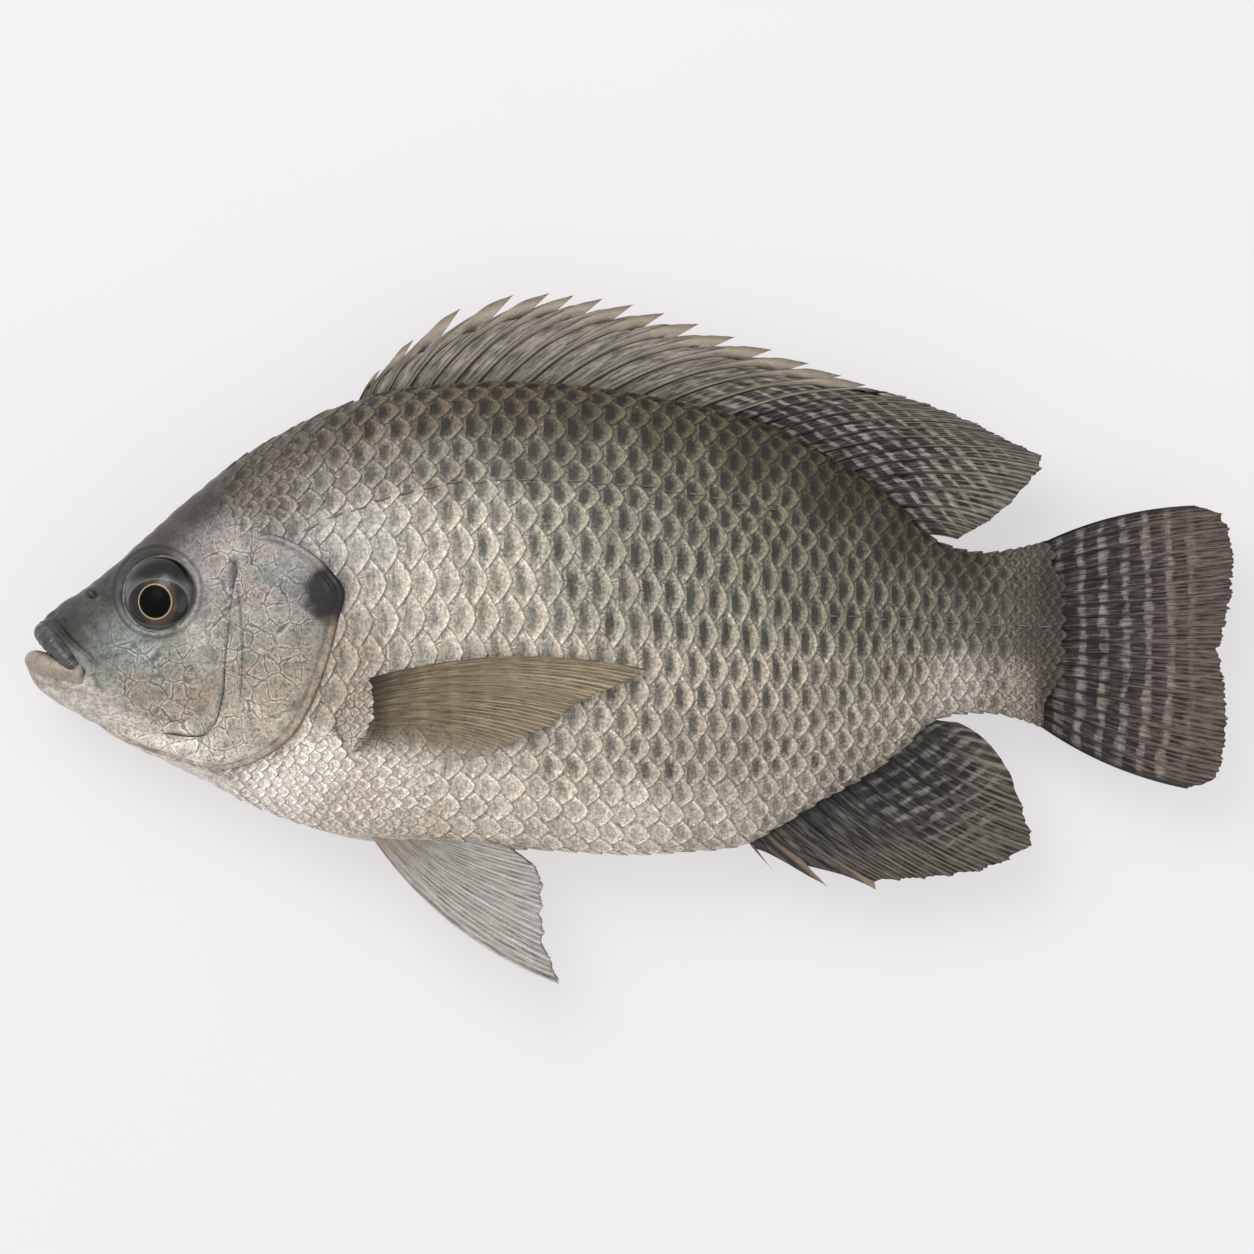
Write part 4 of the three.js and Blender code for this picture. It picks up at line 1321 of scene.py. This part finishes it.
def tube(path: Array, radii: Array, sides: int = 16, loop: bool = False) -> tuple[Array, list]:
    """Sweep a round section along a path.

    Args:
        path: n by 3.
        radii: the radius at each point.
        sides: sides of the section.
        loop: whether the path closes on itself.

    Returns:
        The points and the faces.
    """
    if loop:
        tangent = np.roll(path, -1, 0) - np.roll(path, 1, 0)
    else:
        tangent = np.gradient(path, axis=0)
    tangent /= np.linalg.norm(tangent, axis=1, keepdims=True)
    up = np.array([0.0, 0.0, 1.0]) - tangent * tangent[:, 2:3]
    weak = np.linalg.norm(up, axis=1) < 0.25
    up[weak] = np.array([0.0, 1.0, 0.0]) - tangent[weak] * tangent[weak, 1:2]
    up /= np.linalg.norm(up, axis=1, keepdims=True)
    for i in range(1, len(up)):
        carried = up[i - 1] - tangent[i] * (up[i - 1] @ tangent[i])
        up[i] = carried / np.linalg.norm(carried)
    side = np.cross(tangent, up)
    turn = np.linspace(0, 2 * math.pi, sides, endpoint=False)
    ring = np.cos(turn)[None, :, None] * up[:, None] + np.sin(turn)[None, :, None] * side[:, None]
    points = (path[:, None] + ring * np.asarray(radii)[:, None, None]).reshape(-1, 3)
    faces = grid_faces(len(path), sides, loop=True).tolist()
    last = (len(path) - 1) * sides
    if loop:
        faces += [[last + k, last + (k + 1) % sides, (k + 1) % sides, k] for k in range(sides)]
    else:
        faces += [list(range(sides)), list(range(last, last + sides))[::-1]]
    return points, faces


@dataclass
class Mouth:
    """The two lips, swept round the front of the jaws."""

    form: Form
    maker: MeshMaker

    def lip(
        self, name: str, knots: Sequence[tuple[float, float, float, float]], sunk: float
    ) -> bpy.types.Object:
        """Sweep a lip through its knots on both sides.

        Args:
            name: the piece's name.
            knots: x, y, share of the skin's half width there, and radius, from the middle to the corner.
            sunk: how deep the lip's line lies under the skin.

        Returns:
            The lip.
        """
        table = np.array(knots, float)
        share = np.linspace(0, 1, len(table))
        t = np.linspace(0, 1, 70)
        x, y, part, radius = (follow(list(zip(share, table[:, k])), t) for k in range(4))
        z = (self.form.skin(np.maximum(x, 0.6), y) - sunk) * part
        half = np.stack([x, y, z], -1)
        path = np.concatenate([half[::-1], (half * (1, 1, -1))[1:]])
        radii = np.concatenate([radius[::-1], radius[1:]])
        fade = np.minimum(np.arange(len(radii)), np.arange(len(radii))[::-1])
        radii = radii * np.sqrt(1 - (1 - np.clip((fade + 0.6) / 7, 0, 1)) ** 2)
        wave = 1 + 0.035 * np.sin(np.arange(len(radii)) * 1.9) + 0.03 * np.sin(np.arange(len(radii)) * 0.83)
        points, faces = tube(path, radii * wave, 28)
        obj = self.maker.build(name, points, faces)
        recalculate(obj)
        return obj

    def build(self) -> list[bpy.types.Object]:
        """Make and dress both lips."""
        upper = self.lip(
            "upper_lip",
            ((4.7, 2.0, 0, 2.2), (5.1, 1.7, 0.75, 2.4), (7.1, -0.2, 1, 2.6), (9.7, -2.9, 1, 2.6),
             (12.2, -5.8, 1, 2.3), (14.0, -8.1, 1, 1.6)),
            0.9,
        )  # fmt: skip
        dark = WetSkinFinish("upper_lip_skin", (92, 91, 88), (58, 58, 58))
        upper.data.materials.append(dark.material())
        lower = self.lip(
            "lower_lip",
            ((2.5, -5.0, 0, 2.3), (3.0, -5.2, 0.75, 2.45), (6, -6.1, 1, 2.6), (10, -7.4, 1, 2.5),
             (13.2, -8.4, 1, 2.2), (15.5, -8.3, 1, 2.8)),
            0.7,
        )  # fmt: skip
        pale = WetSkinFinish("lower_lip_skin", (172, 160, 146), (146, 132, 118))
        lower.data.materials.append(pale.material())
        return [dress(upper, "skin"), dress(lower, "skin")]


@dataclass
class Eye:
    """One eye: the ball, the pupil, the gold ring round it and the ring of the socket."""

    form: Form
    maker: MeshMaker
    radius: float = 9.4
    half_thick: float = 5.4
    stand: float = 2.7
    pupil: tuple[float, float] = (0.0, -2.6)
    pupil_radius: float = 3.9
    bulge_rise: float = 0.45  # of the cornea, over the pupil
    bulge_radius: float = 4.4
    ring_points: int = 96

    def axes(self, side: Side) -> tuple[Array, Array]:
        """The eye's centre and its three directions, as columns, in the fish's frame."""
        x, y = EYE
        turn = self.form.turn_at(np.array([x]), np.array([y]))
        out = self.form.normal(np.array([x]), turn)[0] * 0.75 + np.array([0, 0, 0.25])
        out /= np.linalg.norm(out)
        right = np.array([1.0, 0, 0]) - out * out[0]
        right /= np.linalg.norm(right)
        up = np.cross(out, right)
        centre = np.array([x, y, float(self.form.skin(np.array([x]), np.array([y]))[0])])
        centre = centre + out * (self.stand - self.half_thick)
        frame_ = np.stack([right, up, out], 1)
        if side is Side.RIGHT:
            centre, frame_ = centre * (1, 1, -1), frame_ * np.array([[1], [1], [-1]])
        return centre, frame_

    def height(self, u: Array, v: Array) -> Array:
        """Height of the ball over its middle plane."""
        inside = np.maximum(1 - (u * u + v * v) / self.radius**2, 0)
        return self.half_thick * np.sqrt(inside)

    def bulge(self, reach: Array | float) -> Array | float:
        """How far the cornea stands out, by the reach from the pupil's middle."""
        return self.bulge_rise * np.exp(-((reach / self.bulge_radius) ** 4))

    def ball(self, side: Side) -> bpy.types.Object:
        """Model the ball from a sphere."""
        centre, axes = self.axes(side)
        bpy.ops.object.select_all(action="DESELECT")
        bpy.ops.mesh.primitive_uv_sphere_add(segments=112, ring_count=72, radius=1)
        obj = bpy.context.object
        obj.name = obj.data.name = f"eye_ball_{side.word}"
        bpy.ops.object.mode_set(mode="EDIT")
        bpy.ops.transform.resize(value=(self.radius, self.radius, self.half_thick))
        bpy.ops.object.mode_set(mode="OBJECT")
        local = np.array([vertex.co for vertex in obj.data.vertices])
        reach = np.hypot(local[:, 0] - self.pupil[0], local[:, 1] - self.pupil[1])
        local[:, 2] += np.where(local[:, 2] > 0, self.bulge(reach), 0)
        points = self.form.place(self.form.rest(centre + local @ axes.T))
        obj.data.vertices.foreach_set("co", points.ravel())
        obj.data.shade_smooth()
        obj.select_set(False)
        if side is Side.RIGHT:
            obj.data.flip_normals()
        return obj

    def ring(
        self, name: str, side: Side, centre: tuple[float, float], radius: float, thick: float, lift: float,
        on_skin: bool = False,
    ) -> bpy.types.Object:
        """Sweep a thin ring that lies on the ball, or on the skin round it."""
        middle, axes = self.axes(side)
        turn = np.linspace(0, 2 * math.pi, self.ring_points, endpoint=False)
        u, v = centre[0] + radius * np.cos(turn), centre[1] + radius * np.sin(turn)
        bump = self.bulge(radius) if radius < 6 else 0.0
        local = np.stack([u, v, self.height(u, v) + bump + lift], -1)
        path = middle + local @ axes.T
        if on_skin:
            path[:, 2] = (self.form.skin(path[:, 0], path[:, 1]) + lift) * side.value
        points, faces = tube(path, np.full(self.ring_points, thick), 10, loop=True)
        obj = self.maker.build(f"{name}_{side.word}", points, faces)
        recalculate(obj)
        return obj

    def disc(self, side: Side) -> bpy.types.Object:
        """Make the pupil as a shallow dome on the ball."""
        middle, axes = self.axes(side)
        rings, sides = 18, 64
        r = np.linspace(0.02, 1, rings)[:, None]
        turn = np.linspace(0, 2 * math.pi, sides, endpoint=False)
        reach = self.pupil_radius * r
        u, v = self.pupil[0] + reach * np.cos(turn), self.pupil[1] + reach * np.sin(turn)
        base = self.height(u, v) + self.bulge(reach)
        top = np.stack([u, v, base + 0.05 + 0.3 * (1 - r**2)], -1)
        low = np.stack([u, v, base - 0.4], -1)
        points = np.concatenate([top.reshape(-1, 3), low[-1]])
        rim, under = (rings - 1) * sides, rings * sides
        beside = [(k, (k + 1) % sides) for k in range(sides)]
        faces = grid_faces(rings, sides, loop=True).tolist()
        faces += [list(range(sides))]
        faces += [[rim + k, under + k, under + after, rim + after] for k, after in beside]
        faces += [list(range(under, under + sides))[::-1]]
        obj = self.maker.build(f"pupil_{side.word}", middle + points @ axes.T, faces)
        recalculate(obj)
        return obj

    def build(self, side: Side) -> list[bpy.types.Object]:
        """Make and dress the eye."""
        ball = self.ball(side)
        centre = self.form.place(np.array([EYE[0] + 0.2, EYE[1] - 2.5, 0.0]))
        ball.data.materials.append(EyeFinish((float(centre[0]), float(centre[1]))).material())
        gold = self.ring("eye_ring", side, self.pupil, 4.2, 0.15, 0.02)
        gold.data.materials.append(PlainFinish("eye_gold", (196, 172, 128), 0.35, 0.5).material())
        rim = self.ring("socket_rim", side, (0, 0), self.radius, 0.42, -0.1, on_skin=True)
        rim.data.materials.append(WetSkinFinish("socket_skin", (128, 125, 120), (64, 62, 60)).material())
        pupil = self.disc(side)
        pupil.data.materials.append(PlainFinish("pupil_black", (8, 9, 11), 0.3, gloss=0.04).material())
        dress(ball, "eye", f"eye_{side.word}")
        return [ball] + [dress(piece, "eye") for piece in (gold, rim, pupil)]


# ---------------------------------------------------------------- fins


Line = Callable[[Array], tuple[Array, Array]]  # the places on a line, by the share along it


@dataclass
class Fin:
    """A fan of rays with skin between them, as one closed sheet."""

    name: str
    node: str
    slot: str
    longest: float
    roots: Line  # the base line
    fan: Sequence[tuple[float, float, float]]  # share, length, lean in degrees
    shares: Sequence[float]  # where the rays stand on the base
    finish: FinFinish
    bow: float = 0.0
    flare: float = 0.0  # bow of the outer rays, away from the middle
    spines_end: float = 0.0
    spine_notch: float = 0.1
    soft_notch: float = 0.02
    middle: Callable[[Array, Array, Array], Array] = lambda x, y, k: 0 * k
    ray: float = 1.05  # half thickness at the root
    web: float = 0.3
    swing: float = 0.0
    thickness: float = 1.0
    frayed: float = 1.0
    seed: int = 3
    rows: int = 64
    sunk: float = 3.0

    def build(self, maker: MeshMaker) -> bpy.types.Object:
        """Make and dress the fin."""
        shares = np.array(self.shares, float)
        count = len(shares)
        inner = np.array([0, 0.05, 0.11, 0.2, 0.31, 0.43, 0.56, 0.69, 0.81, 0.9, 0.96])
        f = np.append((np.arange(count - 1)[:, None] + inner).ravel(), count - 1)
        share = np.interp(f, np.arange(count), shares)
        length = follow([(a, b) for a, b, _ in self.fan], share) * self.longest
        lean = np.radians(follow([(a, c) for a, _, c in self.fan], share) + self.swing)
        spiny = ease(self.spines_end + 0.004, self.spines_end, share) if self.spines_end else 0 * share
        gap = f - np.floor(f)
        rng = np.random.default_rng(self.seed)
        fray = np.convolve(rng.normal(0, 1, len(f) + 4), [0.2, 0.5, 1, 0.5, 0.2], "same")[2:-2]
        behind = ease(0, 0.09, gap) * (1 - 0.9 * ease(0.06, 1.1, gap)) * (1 + 2.2 * ease(0.16, 0, share))
        soft_dip = np.abs(np.sin(math.pi * gap)) ** 0.7
        tip = 0.045 * spiny * np.exp(-((np.minimum(gap, 1 - gap) / 0.05) ** 2))
        short = -tip + self.spine_notch * spiny * behind + (1 - spiny) * self.soft_notch * soft_dip
        comb = rng.random(len(f))
        short = short + (1 - spiny) * self.frayed * (0.006 * np.abs(fray) + 0.016 * comb)
        k = np.linspace(0, 1, self.rows)[:, None] ** 0.95
        reach = length * (1 - short)
        run = k * reach - self.sunk * (1 - k)
        ax, ay = np.cos(lean), np.sin(lean)
        root_x, root_y = self.roots(share)
        side = (self.bow + self.flare * (1 - 2 * share) ** 3) * length * 4 * k * (1 - k)
        curl = -0.05 * length * ease(0.8, 1.05, k) * spiny * np.exp(-((np.minimum(gap, 1 - gap) / 0.3) ** 2))
        x = root_x + ax * run - ay * (side + curl)
        y = root_y + ay * run + ax * (side + curl)
        from_ray = np.minimum(gap, 1 - gap)
        split = 0.2 * ease(0.34, 0.7, k) * (1 - spiny)
        twig = 0.1 * ease(0.62, 0.92, k) * (1 - spiny)
        bumps = 0 * k
        for first in (-1, 1):
            for second in (-1, 1):
                place = first * split + second * twig
                bumps = np.maximum(bumps, np.exp(-(((from_ray - np.abs(place)) / 0.1) ** 2)))
        bumps = bumps * (0.2 + 0.8 * ease(0.02, 0.16, k))
        strong = self.ray * (1 - 0.62 * k) * (1 + 0.35 * spiny * (1 - k))
        half = (self.web + (strong - self.web) * bumps) * self.thickness
        half = half * (1 - 0.55 * ease(0.9, 1.0, k))
        half = np.maximum(half, 0.16) + 0 * x
        ripple = 0.25 * np.sin(f * 1.7 + 2.2 * k) * k * (self.thickness > 0.5)
        centre = self.middle(x, y, k) + ripple
        top, low = np.stack([x, y, centre + half], -1), np.stack([x, y, centre - half], -1)
        points, faces = closed_sheet(top, low)

        def both(values: Array) -> Array:
            """A value for each point of the top, and again for the underside."""
            return np.concatenate([(values + 0 * x).ravel()] * 2)

        layers = {"share": both(share), "spiny": both(spiny), "reach": both(k * reach)}
        obj = maker.build(self.name, points, faces, layers, np.stack([both(f), both(k)], 1))
        recalculate(obj)
        obj.data.materials.append(self.finish.material())
        return dress(obj, self.slot, self.node)


DORSAL_FAN = [
    (0, 0.17, 60), (0.046, 0.48, 54), (0.1, 0.69, 43), (0.16, 0.705, 40), (0.21, 0.71, 37), (0.315, 0.72, 29),
    (0.4, 0.75, 21), (0.53, 0.81, 12), (0.657, 0.77, 10), (0.745, 0.88, 6), (0.8, 0.97, 3), (0.852, 1, 2),
    (0.91, 0.72, -1), (0.955, 0.41, -8), (1, 0.14, -6),
]  # fmt: skip
ANAL_FAN = [
    (0, 0.225, -49), (0.1, 0.44, -40), (0.2, 0.607, -35), (0.35, 0.743, -35.5), (0.5, 0.895, -33),
    (0.62, 0.98, -29), (0.7, 0.99, -27), (0.8, 0.836, -28), (0.9, 0.618, -26), (0.96, 0.375, -18),
    (1, 0.12, -8),
]  # fmt: skip
TAIL_FAN = [
    (0, 0.82, 14.6), (0.06, 0.952, 13.3), (0.15, 1, 10.3), (0.3, 1, 6.1), (0.5, 0.948, 0.9), (0.56, 0.92, -2),
    (0.7, 0.967, -7.6), (0.85, 0.985, -15.7), (0.95, 0.948, -20.9), (1, 0.815, -23.8),
]  # fmt: skip
PECTORAL_FAN = [
    (0, 1, 2.4), (0.1, 0.957, 2.2), (0.24, 0.8, 0.3), (0.36, 0.733, 0.2), (0.5, 0.655, -2.9),
    (0.6, 0.55, -5.6), (0.75, 0.446, -9.3), (0.88, 0.33, -10), (1, 0.2, -6),
]  # fmt: skip
PELVIC_FAN = [(0, 1, -38.6), (0.25, 0.82, -35.5), (0.5, 0.68, -28), (0.78, 0.56, -19.5), (1, 0.37, -13.8)]

DORSAL_FINISH = FinFinish(
    "dorsal_skin", (34, 32, 30), (182, 174, 162), (168, 157, 140), 3.9, 0.46, 0.55, streaks=0.75, slant=0.5,
    spine_pale=0.24, tone=0.25, ray_base=0.85, rim=0.3, root_strength=0.4,
)  # fmt: skip
ANAL_FINISH = FinFinish(
    "anal_skin", (30, 30, 32), (164, 159, 152), (150, 134, 114), 4.0, 0.42, 0.42, streaks=0.6, slant=-0.6,
    spine_pale=0.0, rim=0.2, tone=0.22, ray_base=0.8,
)  # fmt: skip
TAIL_FINISH = FinFinish(
    "tail_skin", (28, 26, 25), (176, 165, 155), (140, 118, 108), 5.2, -0.2, 0.46, streaks=0.6,
    ray_base=0.9, tone=0.24,
)  # fmt: skip
# its dark root is painted shade where the fin comes out from under the lobe
PECTORAL_FINISH = FinFinish(
    "pectoral_skin", (98, 84, 66), (206, 190, 162), (214, 196, 166), 7.0, -0.2, 0.12, streaks=0.55,
    alpha=0.86, ray_base=0.7, ray_root=(176, 158, 128), rim=0.0, root=(54, 47, 42), root_reach=0.32,
    root_strength=0.95, sheer=0.76, tone=0.36,
)  # fmt: skip
PELVIC_FINISH = FinFinish(
    "pelvic_skin", (104, 101, 96), (212, 208, 202), (226, 221, 213), 8.0, -0.2, 0.0, streaks=0.6,
    ray_base=0.95, ray_root=(222, 214, 202), split_at=0.08, tone=0.44, rim=0.0, root=(160, 138, 112),
    root_reach=0.35, root_strength=0.5,
)  # fmt: skip


def line_of(curve: Callable[[Array], Array], length: float, start: float, end: float) -> Line:
    """A fin's base along the back or the belly."""

    def place(share: Array) -> tuple[Array, Array]:
        """The place at a share of the base."""
        x = length * (start + (end - start) * share)
        return x, curve(x)

    return place


def straight(start: tuple[float, float], end: tuple[float, float]) -> Line:
    """A fin's base along a straight line."""

    def place(share: Array) -> tuple[Array, Array]:
        """The place at a share of the base."""
        return tuple(start[k] + (end[k] - start[k]) * share for k in range(2))

    return place


@dataclass
class Fins:
    """All the fins, on the bases that the body gives them."""

    form: Form
    maker: MeshMaker

    def odd(self) -> list[Fin]:
        """The fins in the middle plane."""
        form, length = self.form, self.form.length
        end = np.array([length])
        low, high = float(form.belly(end)[0]) * 0.97, float(form.back(end)[0]) * 0.97
        spines = [0.657 * (k / 15) ** 1.25 for k in range(16)]
        return [
            Fin("dorsal", "dorsal_fin", "dark_fin", 50, line_of(form.back, length, 0.33, 0.888), DORSAL_FAN,
                [*spines, *np.linspace(0.687, 1, 13)], DORSAL_FINISH, 0.07, 0, 0.657, 0.19, 0.02),
            Fin("anal", "anal_fin", "dark_fin", 44, line_of(form.belly, length, 0.711, 0.894), ANAL_FAN,
                [0, 0.1, 0.2, *np.linspace(0.28, 1, 10)], ANAL_FINISH, -0.04, 0, 0.2, 0.25, 0.03, seed=4),
            Fin("tail", "tail_fin", "dark_fin", 48, straight((length, high), (length, low)), TAIL_FAN,
                np.linspace(0, 1, 18), TAIL_FINISH, flare=0.06, soft_notch=0.01, seed=5),
        ]  # fmt: skip

    def paired(self, side: Side) -> list[Fin]:
        """The pectoral and pelvic fins of one side."""
        form, length, depth = self.form, self.form.length, self.form.depth
        pressed = side is Side.RIGHT
        floor = form.clearance - form.middle + 0.45

        def free(x: Array, y: Array, k: Array) -> Array:
            """Height of the free pectoral fin, over the flank."""
            return form.skin(x, y) + 0.6 + 2.6 * np.sqrt(k)

        def flat(x: Array, y: Array, k: Array) -> Array:
            """Height of the fin that the fish lies on."""
            return floor + 0 * x

        pectoral = Fin(
            f"pectoral_{side.word}", f"pectoral_fin_{side.word}", "brown_fin", 69,
            straight((0.343 * length, -0.085 * depth), (0.337 * length, -0.238 * depth)), PECTORAL_FAN,
            np.linspace(0, 1, 13), PECTORAL_FINISH, 0.02 if pressed else 0.066, soft_notch=0.012,
            middle=flat if pressed else free, ray=0.5, web=0.24, swing=-21 if pressed else 0,
            thickness=0.45 if pressed else 1.0, seed=6,
        )  # fmt: skip
        pelvic = Fin(
            f"pelvic_{side.word}", f"pelvic_fin_{side.word}", "pale_fin", 59,
            straight((0.346 * length, -0.419 * depth), (0.394 * length, -0.397 * depth)), PELVIC_FAN,
            np.linspace(0, 1, 7), PELVIC_FINISH, -0.04, -0.045, soft_notch=0.02,
            middle=lambda x, y, k: side.value * (4.5 + 2 * k) + 0 * x, ray=0.75, web=0.26, seed=7,
        )  # fmt: skip
        return [pectoral, pelvic]

    def build(self) -> None:
        """Make every fin."""
        for fin in [*self.odd(), *self.paired(Side.LEFT), *self.paired(Side.RIGHT)]:
            fin.build(self.maker)


# ---------------------------------------------------------------- studio


@dataclass
class Studio:
    """The pale floor, the soft lights and the camera over the fish."""

    form: Form
    view_width: float = 0.3114
    view_centre: tuple[float, float] = (149.5, 3.2)
    lens: float = 180.0

    def floor(self) -> None:
        """Lay the plain floor."""
        bpy.ops.object.select_all(action="DESELECT")
        bpy.ops.mesh.primitive_plane_add(size=6)
        floor = bpy.context.object
        floor.name = "floor"
        n = Nodes("floor_white")
        grain = n.noise(60.0, 2.0)
        base = n.mix((0.262, 0.256, 0.258), (0.272, 0.266, 0.268), grain)
        glow = {"Emission_Color": (0.9, 0.885, 0.89, 1), "Emission_Strength": 0.64}
        floor.data.materials.append(n.finish(base, 0.9, Specular_IOR_Level=0.2, **glow))

    def light(self, name: str, place: tuple[float, float, float], size: float, power: float) -> None:
        """Hang a soft square light that points at the fish."""
        data = bpy.data.lights.new(name, "AREA")
        data.size = size
        data.energy = power
        lamp = bpy.data.objects.new(name, data)
        lamp.location = place
        lamp.rotation_euler = (-Vector(place)).to_track_quat("-Z", "Y").to_euler()
        bpy.context.scene.collection.objects.link(lamp)

    def build(self) -> None:
        """Set up the whole studio."""
        scene = bpy.context.scene
        scene.view_settings.view_transform = "Standard"
        scene.view_settings.look = "None"
        world = bpy.data.worlds.new("studio")
        world.use_nodes = True
        world.node_tree.nodes["Background"].inputs["Color"].default_value = (1, 1, 1, 1)
        world.node_tree.nodes["Background"].inputs["Strength"].default_value = 0.72
        scene.world = world
        self.floor()
        self.light("key", (-0.35, 0.5, 0.95), 0.7, 6.5)
        self.light("fill", (0.7, -0.3, 0.9), 0.8, 1.6)
        data = bpy.data.cameras.new("camera")
        data.lens, data.sensor_width = self.lens, 36
        data.clip_start, data.clip_end = 0.05, 20
        camera = bpy.data.objects.new("camera", data)
        x, y = self.form.place(np.array([*self.view_centre, 0.0]))[:2]
        away = self.lens / data.sensor_width * self.view_width
        camera.location = (float(x), float(y), self.form.middle * MM + away)
        scene.collection.objects.link(camera)
        scene.camera = camera


# ---------------------------------------------------------------- assembly


def fields(form: Form, skin: SkinMap, maker: MeshMaker) -> list[ScaleField]:
    """Set out every field of scales."""

    def rear(y: Array) -> Array:
        """The rear edge of the gill cover at a level, and the slope of the nape over it."""
        knots = sorted((b, a) for a, b in COVER_REAR if b > -32 and a > 50)
        edge = np.interp(y, [k[0] for k in knots], [k[1] for k in knots])
        return np.where(y > 25, 62 + (y - 25) * 0.35, edge)

    def trunk(x: Array, y: Array) -> Array:
        """The large scales of the trunk."""
        return (x > rear(y) - 1.5) & (from_lobe(x, y) > 1.0) & ((y > -25) | (x > 101)) & (x < 245.5)

    def nape(x: Array, y: Array) -> Array:
        """The small scales of the nape."""
        return (y > 27) & (x <= rear(y) + 1) & (x > 47 + (48 - y) * 0.25)

    def breast(x: Array, y: Array) -> Array:
        """The small scales of the breast."""
        return (y <= -25) & (x <= 101) & (x > 50 + (-25 - y) * 0.1) & (x > rear(y) - 3)

    def lobe(x: Array, y: Array) -> Array:
        """The small scales over the lobe of the pectoral fin."""
        return (from_lobe(x, y) < 1.06) & (x > rear(y) - 1) & (x < 88.2)

    def root(x: Array, y: Array) -> Array:
        """The small scales over the root of the tail."""
        return (x >= 244) & (x < 258.6 - 0.012 * (y - 4) ** 2)

    def small(step: float, low: float, high: float) -> Array:
        """Rows of small scales between two places on the arc."""
        return np.arange(high, low, -step)

    def even(x: Array) -> Array:
        """Rows that keep their spacing."""
        return 1 + 0 * x

    at = np.array([118.0])  # where the rows of large scales have these levels
    levels = [
        60.8, 57.4, 52.4, 46.9, 41.7, 36.6, 31, 23.1, 14.5, 5.6,
        -3.2, -11, -18, -24.5, -30.3, -36, -41, -46, -49.6,
    ]  # fmt: skip
    rows = [float(skin.arc(at, np.array([y]))[0]) for y in levels]
    rows = [rows[0] + 9, rows[0] + 4.5, *rows, rows[-1] - 4.5, rows[-1] - 9]
    return [
        ScaleField(form, skin, maker, "scales", 66, 262, lambda x: max(6.2 - max(x - 136, 0) * 0.027, 3.9),
                   rows, lambda x: 1 - 0.44 * ease(146, 262, x), trunk),
        ScaleField(form, skin, maker, "nape_scales", 44, 92, lambda x: 4.6, small(3.6, 10, 74), even, nape,
                   rise=0.3, seed=21),
        ScaleField(form, skin, maker, "breast_scales", 46, 104, lambda x: 3.2 + max(x - 76, 0) * 0.05,
                   small(2.9, -62, -20), even, breast, rise=0.26, seed=31),
        ScaleField(form, skin, maker, "lobe_scales", 74, 92, lambda x: 2.3, small(1.9, -32, -2), even, lobe,
                   rise=0.3, seed=51),
        ScaleField(form, skin, maker, "root_scales", 240, 264, lambda x: 2.5, small(2.0, -30, 30), even, root,
                   rise=0.26, seed=41),
    ]  # fmt: skip


def main() -> None:
    """Build the fish and the studio."""
    form = Form.from_frame()
    skin, maker = SkinMap(form), MeshMaker(form)
    Studio(form).build()
    BodySkin(form, skin, maker).build()
    coat = ScaleFinish().material()
    for side in Side:
        for piece in fields(form, skin, maker):
            piece.build(side).data.materials.append(coat)
        LateralLine(form, skin, maker).build(side)
        GillCover(form, skin, maker).build(side)
        Eye(form, maker).build(side)
    Mouth(form, maker).build()
    Fins(form, maker).build()


if __name__ == "__main__":
    logging.basicConfig(level=logging.INFO, format="%(message)s")
    main()
